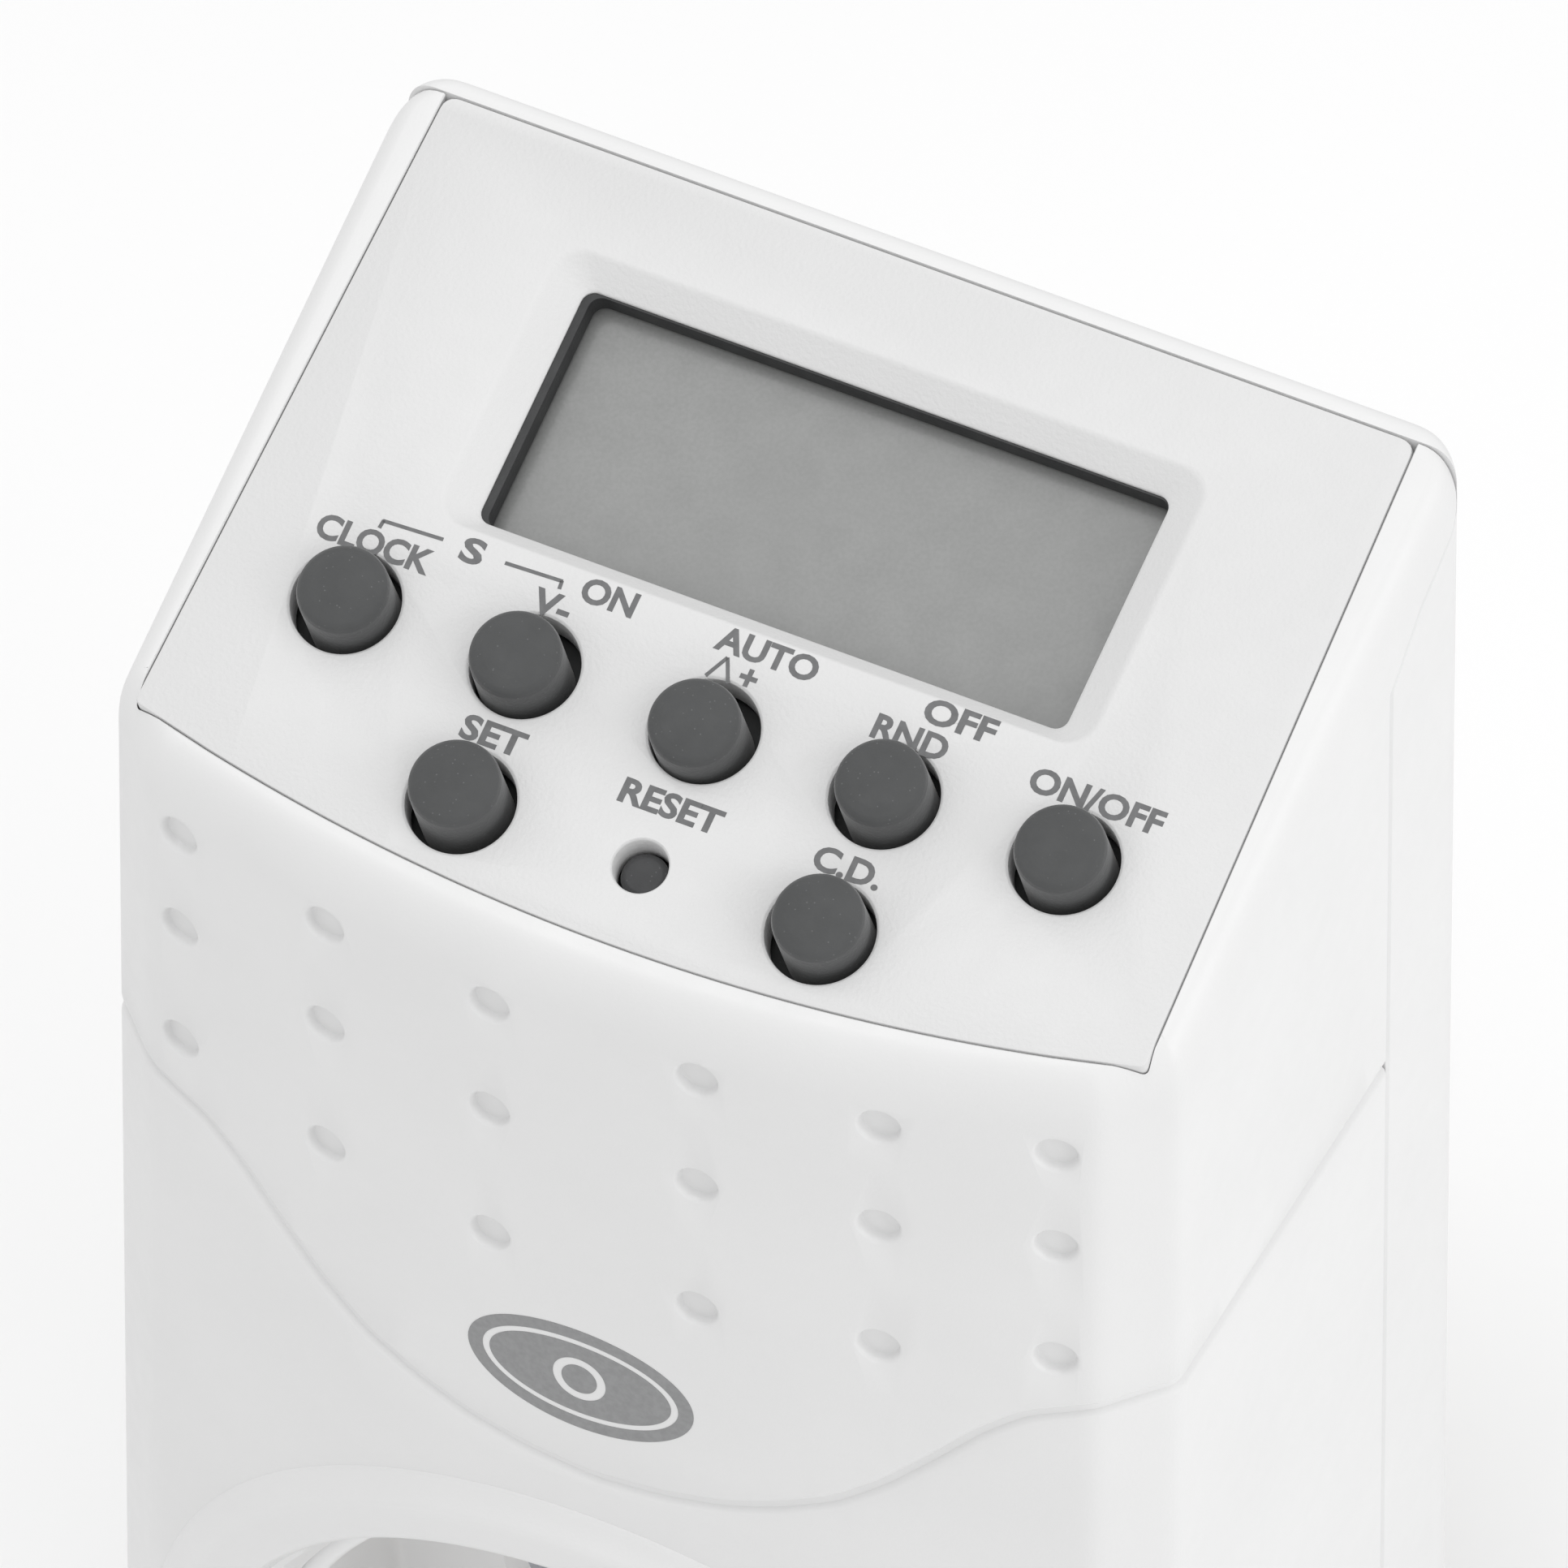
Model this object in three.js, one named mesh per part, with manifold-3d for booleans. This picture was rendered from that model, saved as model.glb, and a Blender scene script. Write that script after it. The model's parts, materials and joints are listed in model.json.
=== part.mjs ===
// Digital plug-in timer switch: a box with a sloped control panel, a display, seven rubber buttons,
// an earthed socket in front and a plug behind, with the electronics, relay and contacts inside.
// Millimetres. +X right, +Y from the front towards the wall, +Z up.
// The origin is the middle of the plug's end face, on the common axis of plug and socket.
import * as THREE from 'three';
import { mergeVertices } from 'three/addons/utils/BufferGeometryUtils.js';
import Module from 'manifold-3d';

const wasm = await Module();
wasm.setup();

// ---- Driving dimensions ----

const GAP = 0.3;                    // clearance between neighbouring pieces
const WALL = 2;                     // housing wall

const BODY_WIDTH = 60;
const BACK_Y = -17.5;               // back wall, where the plug's body starts
const FRONT_Y = -58.2;              // front wall at the middle
const SEAM_Y = -27.4;               // joint between the two housings
const BASE_Z = -33;
const FRONT_RADIUS = 106;           // sideways curve of the front wall
const FRONT_EDGE_X = 26.7;          // where the front wall meets the corner chamfers
const CHAMFER_BACK_Y = -51.6;       // where the chamfers meet the side walls
const REAR_CORNER_R = 3;

const PANEL_Y = -44.5;              // the middle button's place on the panel's face
const PANEL_Z = 73;
const SLOPE = THREE.MathUtils.degToRad(21);
const PANEL_TOP_HALF = 27.3;        // half width at the panel's upper edge
const PANEL_LOW_HALF = 28.1;        // half width at its lower corners
const PANEL_TOP = 26.7;             // distances up the slope from the middle button
const PANEL_LOW = -8.5;
const PANEL_SAG = 5;                // how far the curved lower edge hangs below its corners
const PANEL_THICK = 2;
const RIM_Y = -19.3;                // vertical joint between the panel and the rear housing's rim

const WINDOW = { x: 0.3, y: 13.5, w: 32.6, h: 13.56, bevel: 1.3, sink: 0.6, corner: 0.7 };
const KEY_PITCH = 10.1;
const KEY_X = -0.3;                 // the middle key's place across the panel
const KEY_ROW = -7.9;               // second row, below the first
const KEY_R = 2.6;
const KEY_HOLE_R = 2.9;
const KEY_PROUD = 1.5;
const RESET_HOLE_R = 1.45;

const RIM_FACE_Y = -58.6;           // plane the well's depth is measured from
const WELL_R = 19.75;               // standard earthed socket, 17.5 deep
const WELL_DEPTH = 17.5;
const WELL_FLOOR = 4.4;             // floor thickness
const CUP_R = 21.35;
const PIN_X = 9.5;                  // half the standard distance between the pins
const PIN_R = 2.4;
const PIN_LENGTH = 19;
const PLUG_R = 18.5;
const PLUG_FLAT = 16.1;             // floor of the earth grooves, from the axis
const EARTH_WIDTH = 5;

// ---- Materials ----

const material = (color, roughness, metalness = 0) =>
  new THREE.MeshStandardMaterial({ color, roughness, metalness });

const WHITE = material(0xececec, 0.55);
const PANEL_WHITE = material(0xeeeeee, 0.6);
const WELL_WHITE = material(0xe2e2e2, 0.5);
const KEY_GREY = material(0x5d5e5f, 0.75);
const DARK = material(0x2a2b2c, 0.6);
const DISPLAY = material(0xa0a3a1, 0.3);
const CONTACT_RUBBER = material(0x9a9a98, 0.8);
const BOARD_GREEN = material(0x2c6b45, 0.5);
const BOARD_TAN = material(0xb59a5c, 0.6);
const BLACK = material(0x1c1c1e, 0.45);
const STEEL = material(0xb9bcc0, 0.35, 1);
const NICKEL = material(0xc9c8c4, 0.25, 1);
const BRASS = material(0xc8a556, 0.35, 1);
const COPPER = material(0xb4653a, 0.4, 1);
const RELAY_BLUE = material(0x2d5fa8, 0.45);
const CAPACITOR_YELLOW = material(0xd9b23c, 0.5);
const CERAMIC_BLUE = material(0x3c6ea6, 0.5);
const RESISTOR_GREY = material(0x7c8a7e, 0.6);
const WIRE_BROWN = material(0x6a3b22, 0.5);
const WIRE_BLUE = material(0x27509a, 0.5);
const WIRE_BLACK = material(0x222222, 0.5);
const RIBBON_GREY = material(0x9b9ea3, 0.6);

// ---- Shape helpers ----

const timer = new THREE.Group();
const panelGroup = new THREE.Group();
panelGroup.position.set(0, PANEL_Y, PANEL_Z);
panelGroup.rotation.x = SLOPE;
timer.add(panelGroup);
panelGroup.updateMatrix();

function solid(geometry) {
  const bare = geometry.index ? geometry.clone() : geometry;
  bare.deleteAttribute('normal');
  bare.deleteAttribute('uv');
  const merged = mergeVertices(bare, 1e-5);
  return new wasm.Manifold(new wasm.Mesh({
    numProp: 3,
    vertProperties: new Float32Array(merged.attributes.position.array),
    triVerts: new Uint32Array(merged.index.array),
  }));
}

function toGeometry(shape) {
  const mesh = shape.getMesh();
  const geometry = new THREE.BufferGeometry();
  geometry.setAttribute('position', new THREE.BufferAttribute(mesh.vertProperties, 3));
  geometry.setIndex(new THREE.BufferAttribute(mesh.triVerts, 1));
  geometry.computeVertexNormals();
  return geometry;
}

// Adds one named piece. A shape is either a solid made by the helpers or a closed geometry.
function add(name, shape, finish, parent = timer) {
  const geometry = shape.isBufferGeometry ? shape : toGeometry(shape);
  const mesh = new THREE.Mesh(geometry, finish);
  mesh.name = name;
  parent.add(mesh);
  return mesh;
}

const join = (...shapes) => shapes.reduce((whole, shape) => whole.add(shape));
const cut = (shape, ...tools) => tools.reduce((whole, tool) => whole.subtract(tool), shape);

function outline(points) {
  const shape = new THREE.Shape();
  points.forEach(([x, y], index) => (index ? shape.lineTo(x, y) : shape.moveTo(x, y)));
  shape.closePath();
  return shape;
}

function extruded(shape, depth, curveSegments = 8) {
  return new THREE.ExtrudeGeometry(shape, { depth, bevelEnabled: false, curveSegments });
}

// Prisms along Z and along X, from the lower to the upper value.
// Their outlines are given as (x, y) and as (y, z).
function prismZ(shape, low, high, segments) {
  return solid(extruded(shape, high - low, segments).translate(0, 0, low));
}

function prismX(shape, low, high, segments) {
  const turn = new THREE.Matrix4().makeBasis(
    new THREE.Vector3(0, 1, 0), new THREE.Vector3(0, 0, 1), new THREE.Vector3(1, 0, 0));
  return solid(extruded(shape, high - low, segments).applyMatrix4(turn).translate(low, 0, 0));
}

function box([x0, x1], [y0, y1], [z0, z1]) {
  const geometry = new THREE.BoxGeometry(x1 - x0, y1 - y0, z1 - z0);
  return solid(geometry.translate((x0 + x1) / 2, (y0 + y1) / 2, (z0 + z1) / 2));
}

function rodZ(radius, low, high, x, y, segments = 24) {
  const geometry = new THREE.CylinderGeometry(radius, radius, high - low, segments);
  return solid(geometry.rotateX(Math.PI / 2).translate(x, y, (low + high) / 2));
}

function rodY(radius, low, high, x, z, segments = 24) {
  const geometry = new THREE.CylinderGeometry(radius, radius, high - low, segments);
  return solid(geometry.translate(x, (low + high) / 2, z));
}

function rodX(radius, low, high, y, z, segments = 24) {
  const geometry = new THREE.CylinderGeometry(radius, radius, high - low, segments);
  return solid(geometry.rotateZ(Math.PI / 2).translate((low + high) / 2, y, z));
}

// A turned piece about an axis parallel to Y. The profile is a list of (radius, y).
function turnedY(profile, segments, x = 0, z = 0) {
  const points = profile.map(([radius, y]) => new THREE.Vector2(radius, y));
  return solid(new THREE.LatheGeometry(points, segments).translate(x, 0, z));
}

// A turned piece about an axis parallel to Z. The profile is a list of (radius, z).
function turnedZ(profile, segments, x = 0, y = 0) {
  const points = profile.map(([radius, z]) => new THREE.Vector2(radius, z));
  return solid(new THREE.LatheGeometry(points, segments).rotateX(Math.PI / 2).translate(x, y, 0));
}

function roundedRectangle(x, y, width, height, radius) {
  const [left, right, low, high] = [x - width / 2, x + width / 2, y - height / 2, y + height / 2];
  const shape = new THREE.Shape();
  shape.moveTo(left + radius, low);
  shape.lineTo(right - radius, low);
  shape.absarc(right - radius, low + radius, radius, -Math.PI / 2, 0);
  shape.lineTo(right, high - radius);
  shape.absarc(right - radius, high - radius, radius, 0, Math.PI / 2);
  shape.lineTo(left + radius, high);
  shape.absarc(left + radius, high - radius, radius, Math.PI / 2, Math.PI);
  shape.lineTo(left, low + radius);
  shape.absarc(left + radius, low + radius, radius, Math.PI, Math.PI * 1.5);
  return shape;
}

// Moves a geometry from the panel's own axes to the timer's, for cutting the housings.
const inTimer = (geometry) => solid(geometry.clone().applyMatrix4(panelGroup.matrix));

// A round wire or a flat strip along a curve through the given points.
function alongPath(section, points, steps) {
  const path = new THREE.CatmullRomCurve3(points.map((point) => new THREE.Vector3(...point)));
  const options = { steps, extrudePath: path, bevelEnabled: false, curveSegments: 3 };
  return solid(new THREE.ExtrudeGeometry(section, options));
}

// ---- Outline of the body, seen from above ----

// The inset moves the whole outline inwards, which makes the inner face of the walls.
// The back wall can have an inset of its own.
function bodyOutline(inset = 0, backInset = inset) {
  const side = BODY_WIDTH / 2 - inset;
  const radius = FRONT_RADIUS - inset;
  const centreY = FRONT_Y + FRONT_RADIUS;
  const chamferShift = inset * 0.42;
  const edgeX = FRONT_EDGE_X - chamferShift;
  const edgeAngle = Math.asin(edgeX / radius);
  const corner = Math.max(REAR_CORNER_R - inset, 0.8);
  const back = BACK_Y - backInset;
  const shape = new THREE.Shape();
  shape.moveTo(side, CHAMFER_BACK_Y + chamferShift);
  shape.lineTo(side, back - corner);
  shape.absarc(side - corner, back - corner, corner, 0, Math.PI / 2);
  shape.lineTo(-side + corner, back);
  shape.absarc(-side + corner, back - corner, corner, Math.PI / 2, Math.PI);
  shape.lineTo(-side, CHAMFER_BACK_Y + chamferShift);
  shape.absarc(0, centreY, radius, -Math.PI / 2 - edgeAngle, -Math.PI / 2 + edgeAngle);
  return shape;
}

// Height of the surface that lies the given depth under the panel's plane.
const heightUnderPanel = (y, depth) =>
  PANEL_Z + (y - PANEL_Y) * Math.tan(SLOPE) - depth / Math.cos(SLOPE);

// Everything below the panel's plane lowered by the given depth, wide enough to take in the body.
function belowPanel(depth) {
  const reach = 60;
  const [front, back] = [PANEL_Y - reach, PANEL_Y + reach];
  return prismX(outline([
    [front, BASE_Z - 20], [back, BASE_Z - 20],
    [back, heightUnderPanel(back, depth)], [front, heightUnderPanel(front, depth)],
  ]), -50, 50);
}

// A closed solid through loops of points that match one to one, from the lowest loop to the highest.
function loft(loops) {
  const count = loops[0].length;
  const positions = loops.flat(2);
  const faces = [];
  for (let level = 0; level + 1 < loops.length; level += 1) {
    for (let i = 0; i < count; i += 1) {
      const next = (i + 1) % count;
      const [a, b] = [level * count + i, level * count + next];
      faces.push(a, b, b + count, a, b + count, a + count);
    }
  }
  const flat = (loop) => loop.map(([x, y]) => new THREE.Vector2(x, y));
  const last = (loops.length - 1) * count;
  for (const [a, b, c] of THREE.ShapeUtils.triangulateShape(flat(loops[0]), [])) faces.push(a, c, b);
  for (const [a, b, c] of THREE.ShapeUtils.triangulateShape(flat(loops.at(-1)), [])) {
    faces.push(last + a, last + b, last + c);
  }
  const geometry = new THREE.BufferGeometry();
  geometry.setAttribute('position', new THREE.Float32BufferAttribute(positions, 3));
  geometry.setIndex(faces);
  return solid(geometry);
}

const TALL = 100;
const SEGMENTS = 8;

// Rounding of the sloped top's edge: [inset, depth] pairs at the sides and front, then at the back.
const SHOULDER = [
  { side: [0, 3.2], back: [0, 0.9] },
  { side: [0.15, 1.8], back: [0.05, 0.5] },
  { side: [0.45, 0.9], back: [0.15, 0.25] },
  { side: [0.9, 0.35], back: [0.3, 0.1] },
  { side: [1.5, 0], back: [0.6, 0] },
];
const BASE_BEVEL = 1;

function bodyBlock() {
  const loopAt = (inset, backInset, height) => bodyOutline(inset, backInset).getPoints(SEGMENTS)
    .slice(0, -1).map(({ x, y }) => [x, y, height(y)]);
  const top = SHOULDER.map(({ side, back }) => loopAt(side[0], back[0], (y) => {
    const share = THREE.MathUtils.smoothstep(y, BACK_Y - REAR_CORNER_R - 2, BACK_Y - 1);
    return heightUnderPanel(y, THREE.MathUtils.lerp(side[1], back[1], share));
  }));
  return loft([
    loopAt(BASE_BEVEL, BASE_BEVEL, () => BASE_Z),
    loopAt(0, 0, () => BASE_Z + BASE_BEVEL),
    ...top,
  ]);
}

const roof = PANEL_THICK + GAP + 1.5;
const cavity = prismZ(bodyOutline(WALL), BASE_Z + WALL, TALL, SEGMENTS).intersect(belowPanel(roof));

// The rear housing's region, seen from the side: behind the seam, stepping back under the rails.
const SEAM_STEP = [
  [SEAM_Y, PANEL_Z + 0.5], [-24, PANEL_Z + 3.6], [-20.2, PANEL_Z + 5.7], [RIM_Y, PANEL_Z + 7.2],
  [RIM_Y, TALL],
];

function region(shift, farY) {
  const edge = SEAM_STEP.map(([y, z]) => [y + shift, z]);
  return prismX(outline([[farY, BASE_Z - 20], [SEAM_Y + shift, BASE_Z - 20], ...edge, [farY, TALL]]),
    -50, 50);
}

// ---- Control panel outline, in the panel's own axes ----

function panelOutline(inset = 0) {
  const low = PANEL_LOW + inset;
  const lowHalf = PANEL_LOW_HALF - inset;
  const topHalf = PANEL_TOP_HALF - inset;
  const radius = (lowHalf ** 2 + PANEL_SAG ** 2) / (2 * PANEL_SAG);
  const angle = Math.asin(lowHalf / radius);
  const shape = new THREE.Shape();
  shape.moveTo(lowHalf + 0.05, low + 1.2);
  shape.lineTo(topHalf, PANEL_TOP + 4);
  shape.lineTo(-topHalf, PANEL_TOP + 4);
  shape.lineTo(-lowHalf - 0.05, low + 1.2);
  const reach = angle * 0.97;
  shape.absarc(0, low - PANEL_SAG + radius, radius, -Math.PI / 2 - reach, -Math.PI / 2 + reach);
  return shape;
}

const PANEL_SEGMENTS = 14;

function panelSlab(inset, low, high) {
  return inTimer(extruded(panelOutline(inset), high - low, PANEL_SEGMENTS).translate(0, 0, low));
}

// ---- Housings ----

const SCREW_PLACES = [[-24.6, -27.8], [24.6, -27.8], [-24.6, 27], [24.6, 27]];
const POST_FRONT_Y = -55;
const POST_R = 3.6;
const SCREW_R = 1.4;
const COLLAR_BACK = -53.8;          // back of the collar round the socket's mouth
const ROUND = 48;                   // sides of the large round shapes

// The collar thickens the front wall round the socket's mouth and meets the well behind it.
function mouthCollar() {
  const ring = cut(rodY(24.9, -60, COLLAR_BACK, 0, 0, ROUND), rodY(WELL_R - 1, -61, -50, 0, 0, ROUND));
  return ring.intersect(bodyBlock());
}

// The space inside the mouth: it narrows from a wide flare to the well's own radius.
function mouthFlare() {
  return turnedY([
    [0, -62], [25.2, -62], [23.6, -59.2], [22.6, -58.1], [21.5, -57.2], [20.6, -56.4], [20, -55.5],
    [WELL_R, -54.6], [WELL_R, -50], [0, -50],
  ], ROUND);
}

function frontHousing() {
  const shell = bodyBlock().intersect(region(-GAP / 2, -90)).subtract(cavity);
  const posts = SCREW_PLACES.map(([x, z]) => rodY(POST_R, POST_FRONT_Y, SEAM_Y - 1, x, z, 12));
  const inside = prismZ(bodyOutline(WALL / 2), BASE_Z + 1, 60, SEGMENTS);
  const kept = posts.map((post) => post.intersect(inside));
  const holes = SCREW_PLACES.map(([x, z]) => rodY(SCREW_R + GAP, -44, SEAM_Y, x, z, 10));
  return cut(join(shell, ...kept, mouthCollar()), ...holes, mouthFlare(),
    panelSlab(-GAP, -PANEL_THICK - GAP, 10), panelSlab(1.2, -12, 1));
}

const GROOVE_WIDTH = EARTH_WIDTH + 2;

function rearHousing() {
  const shell = bodyBlock().intersect(region(GAP / 2, 20)).subtract(cavity);
  const tube = rodY(PLUG_R, BACK_Y - WALL, 0, 0, 0, ROUND);
  const bore = rodY(PLUG_R - 4.4, BACK_Y - WALL - 1, 1, 0, 0, ROUND);
  const grooves = [-1, 1].map((side) => box([-GROOVE_WIDTH / 2, GROOVE_WIDTH / 2], [BACK_Y - 3, 1],
    side > 0 ? [PLUG_FLAT, PLUG_R + 1] : [-PLUG_R - 1, -PLUG_FLAT]));
  const posts = SCREW_PLACES.map(([x, z]) => rodY(4, SEAM_Y + 1, BACK_Y - 0.5, x, z, 14));
  const inside = prismZ(bodyOutline(WALL / 2), BASE_Z + 1, 60, SEGMENTS);
  const kept = posts.map((post) => post.intersect(inside));
  const bores = SCREW_PLACES.flatMap(([x, z]) => [
    rodY(SCREW_R + GAP, SEAM_Y - 1, BACK_Y + 1, x, z, 10),
    rodY(2.9, BACK_Y - 5, BACK_Y + 1, x, z, 14),
  ]);
  const underPanel = box([-25.8, 25.8], [SEAM_Y - 2, BACK_Y - WALL], [PANEL_Z - 3, PANEL_Z + 9]);
  return cut(join(shell, tube, ...kept), bore, ...grooves, ...bores, underPanel);
}

add('front_housing', frontHousing(), WHITE);
add('rear_housing', rearHousing(), WHITE);

// ---- Control panel, display and keys, in the panel's own axes ----

const firstRow = ['clock_button', 'minus_button', 'plus_button', 'random_button', 'on_off_button'];
const keys = firstRow.map((name, index) => ({ name, x: KEY_X + (index - 2) * KEY_PITCH, y: 0 }));
keys.push({ name: 'set_button', x: KEY_X - KEY_PITCH, y: KEY_ROW });
keys.push({ name: 'countdown_button', x: KEY_X + KEY_PITCH, y: KEY_ROW });

function windowOutline(margin, corner) {
  return roundedRectangle(WINDOW.x, WINDOW.y, WINDOW.w + 2 * margin, WINDOW.h + 2 * margin, corner);
}

// The tapered frustum that cuts the sunk frame round the window.
function windowBevel() {
  const margin = WINDOW.bevel;
  const wide = WINDOW.w / 2 + margin;
  const high = WINDOW.h / 2 + margin;
  const geometry = new THREE.BoxGeometry(2 * wide, 2 * high, 2);
  const position = geometry.attributes.position;
  for (let i = 0; i < position.count; i += 1) {
    const deep = position.getZ(i) < 0;
    const shrink = deep ? margin * 1.05 : 0;
    position.setX(i, Math.sign(position.getX(i)) * (wide - shrink));
    position.setY(i, Math.sign(position.getY(i)) * (high - shrink));
    position.setZ(i, deep ? -WINDOW.sink : 0.03);
  }
  return solid(geometry.translate(WINDOW.x, WINDOW.y, 0));
}

function controlPanel() {
  const slab = prismZ(panelOutline(), -PANEL_THICK, 0, PANEL_SEGMENTS);
  const turnBack = new THREE.BoxGeometry(80, 20, 60).translate(0, RIM_Y - GAP + 10, PANEL_Z);
  const upright = solid(turnBack.applyMatrix4(panelGroup.matrix.clone().invert()));
  const keyHoles = keys.map(({ x, y }) => rodZ(KEY_HOLE_R, -5, 2, x, y, 24));
  const resetHole = rodZ(RESET_HOLE_R, -5, 2, KEY_X, KEY_ROW, 16);
  const opening = prismZ(windowOutline(0, WINDOW.corner), -5, 2, 4);
  const pocket = prismZ(windowOutline(1.5, 1), -5, -WINDOW.sink - 0.4, 4);
  return cut(slab, upright, ...keyHoles, resetHole, opening, pocket, windowBevel());
}

add('control_panel', controlPanel(), PANEL_WHITE, panelGroup);

const CELL = { w: 36, h: 17, top: -2.9, low: -4.9 };

function displayHolder() {
  const collar = prismZ(windowOutline(1.2, 0.9), -2.7, -WINDOW.sink - 0.7, 4);
  const frame = box([WINDOW.x - 20, WINDOW.x + 20], [WINDOW.y - 9.6, WINDOW.y + 9.4], [-5.6, -2.3]);
  const opening = prismZ(windowOutline(0, WINDOW.corner), -7, 0, 4);
  const pocket = box([WINDOW.x - CELL.w / 2 - GAP, WINDOW.x + CELL.w / 2 + GAP],
    [WINDOW.y - CELL.h / 2 - GAP, WINDOW.y + CELL.h / 2 + GAP], [-7, CELL.top + GAP]);
  return cut(join(collar, frame), opening, pocket);
}

add('display_holder', displayHolder(), DARK, panelGroup);

const cellSpan = (size, centre) => [centre - size / 2, centre + size / 2];
const cellX = cellSpan(CELL.w, WINDOW.x);
const cellY = cellSpan(CELL.h, WINDOW.y);
add('display_front_glass', box(cellX, cellY, [-3.8, CELL.top]), DISPLAY, panelGroup);
add('display_back_glass', box(cellX, [cellY[0], cellY[1] - 1.5], [CELL.low, -4.1]), DISPLAY, panelGroup);

const BOARD_TOP = -6.6;
const BOARD_LOW = -8.2;
add('display_connector', box([WINDOW.x - 16, WINDOW.x + 16], [cellY[0] + 0.5, cellY[0] + 2.5],
  [BOARD_TOP + GAP, CELL.low - GAP]), CONTACT_RUBBER, panelGroup);

function controlBoard() {
  const upper = box([-25, 25], [-5.5, 22], [BOARD_LOW, BOARD_TOP]);
  const lower = box([-15.5, 15.5], [-11.4, -5], [BOARD_LOW, BOARD_TOP]);
  const screwHoles = [-1, 1].map((side) => rodZ(1.5, -9, -6, side * 22.8, 8, 12));
  return cut(join(upper, lower), ...screwHoles);
}

add('control_board', controlBoard(), BOARD_GREEN, panelGroup);

// A thin rubber sheet on the board with a round window for each key.
function keypadMat() {
  const low = BOARD_TOP + GAP;
  const high = low + 0.9;
  const upper = box([-25, 25], [-4.6, 3.4], [low, high]);
  const lower = box([-15, 15], [-11.3, -4], [low, high]);
  const windows = keys.map(({ x, y }) => rodZ(3.7, low - 1, high + 1, x, y, 14));
  const resetWindow = rodZ(2.6, low - 1, high + 1, KEY_X, KEY_ROW, 12);
  return cut(join(upper, lower), ...windows, resetWindow);
}

add('keypad_mat', keypadMat(), CONTACT_RUBBER, panelGroup);

// A key is turned about the panel's normal: domed head, collar under the panel, contact stem.
function keyShape({ x, y }) {
  return turnedZ([
    [0, -5.4], [1.6, -5.4], [1.6, -4.1], [3.4, -4.1], [3.4, -3.1], [KEY_R, -3.1],
    [KEY_R, KEY_PROUD - 0.55], [KEY_R - 0.15, KEY_PROUD - 0.25], [KEY_R - 0.5, KEY_PROUD - 0.08],
    [0, KEY_PROUD],
  ], 20, x, y);
}

for (const key of keys) add(key.name, keyShape(key), KEY_GREY, panelGroup);

add('reset_button', turnedZ([
  [0, -5.6], [1.1, -5.6], [1.1, -4.3], [2.2, -4.3], [2.2, -3.3], [1.25, -3.3], [1.25, -1.5],
  [1, -1.25], [0, -1.2],
], 14, KEY_X, KEY_ROW), DARK, panelGroup);

// Parts under the control board.
const UNDER = BOARD_LOW - GAP;
add('processor_chip', box([-5, 5], [6, 16], [UNDER - 1.6, UNDER]), BLACK, panelGroup);
add('clock_crystal', rodX(1, 8.6, 14.6, 12, UNDER - 1, 12), NICKEL, panelGroup);
add('backup_cell', rodZ(5.4, UNDER - 5.6, UNDER - 0.7, 15.5, 1, 28), NICKEL, panelGroup);
add('backup_cell_tab', box([12.5, 18.5], [-1, 3], [UNDER - 0.4, UNDER]), STEEL, panelGroup);

// The board hangs from the underside of the front housing's ledge on two screws.
function boardScrew(x, y) {
  return turnedZ([
    [0, UNDER - 1.4], [1.9, UNDER - 1.4], [2.1, UNDER - 1.1], [2.1, UNDER], [1.1, UNDER],
    [1.1, -4.6], [0, -4.3],
  ], 14, x, y);
}

add('board_screw_left', boardScrew(-22.8, 8), STEEL, panelGroup);
add('board_screw_right', boardScrew(22.8, 8), STEEL, panelGroup);

// ---- Socket well, shutter and contacts ----

const FLOOR_FRONT = RIM_FACE_Y + WELL_DEPTH;
const FLOOR_BACK = FLOOR_FRONT + WELL_FLOOR;
const STRAP_MID = 16.9;             // height of the earth straps from the axis
const STRAP_THICK = 0.8;

function socketWell() {
  const cupFront = COLLAR_BACK + GAP;
  const cup = turnedY([
    [0, FLOOR_FRONT], [WELL_R, FLOOR_FRONT], [WELL_R, cupFront], [CUP_R, cupFront],
    [CUP_R, FLOOR_BACK], [0, FLOOR_BACK],
  ], ROUND);
  const pinHoles = [-PIN_X, PIN_X].map((x) => rodY(3.2, -50, -30, x, 0, 24));
  const slots = [-1, 1].map((side) => box([-EARTH_WIDTH / 2 - 0.4, EARTH_WIDTH / 2 + 0.4], [-50, -30],
    side > 0 ? [STRAP_MID - 1, STRAP_MID + 1] : [-STRAP_MID - 1, -STRAP_MID + 1]));
  return cut(cup, ...pinHoles, ...slots);
}

add('socket_well', socketWell(), WELL_WHITE);

// The shutter plate slides sideways behind the floor until its own holes meet the pin holes.
const SHUTTER_TRAVEL = 6.5;
const SHUTTER_Y = [FLOOR_BACK + GAP, FLOOR_BACK + GAP + 1.8];

function shutter() {
  const plate = box([-PIN_X - SHUTTER_TRAVEL - 4.5, PIN_X + 4.5], SHUTTER_Y, [-4.4, 4.4]);
  const holes = [-PIN_X, PIN_X].map((x) => rodY(3.2, -60, -30, x - SHUTTER_TRAVEL, 0, 24));
  return cut(plate, ...holes);
}

add('shutter', shutter(), RELAY_BLUE);

// A pulling spring between the shutter's left end and the contact block's lug.
const SPRING_X = [-26.3, -PIN_X - SHUTTER_TRAVEL - 4.5 - GAP];

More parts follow.
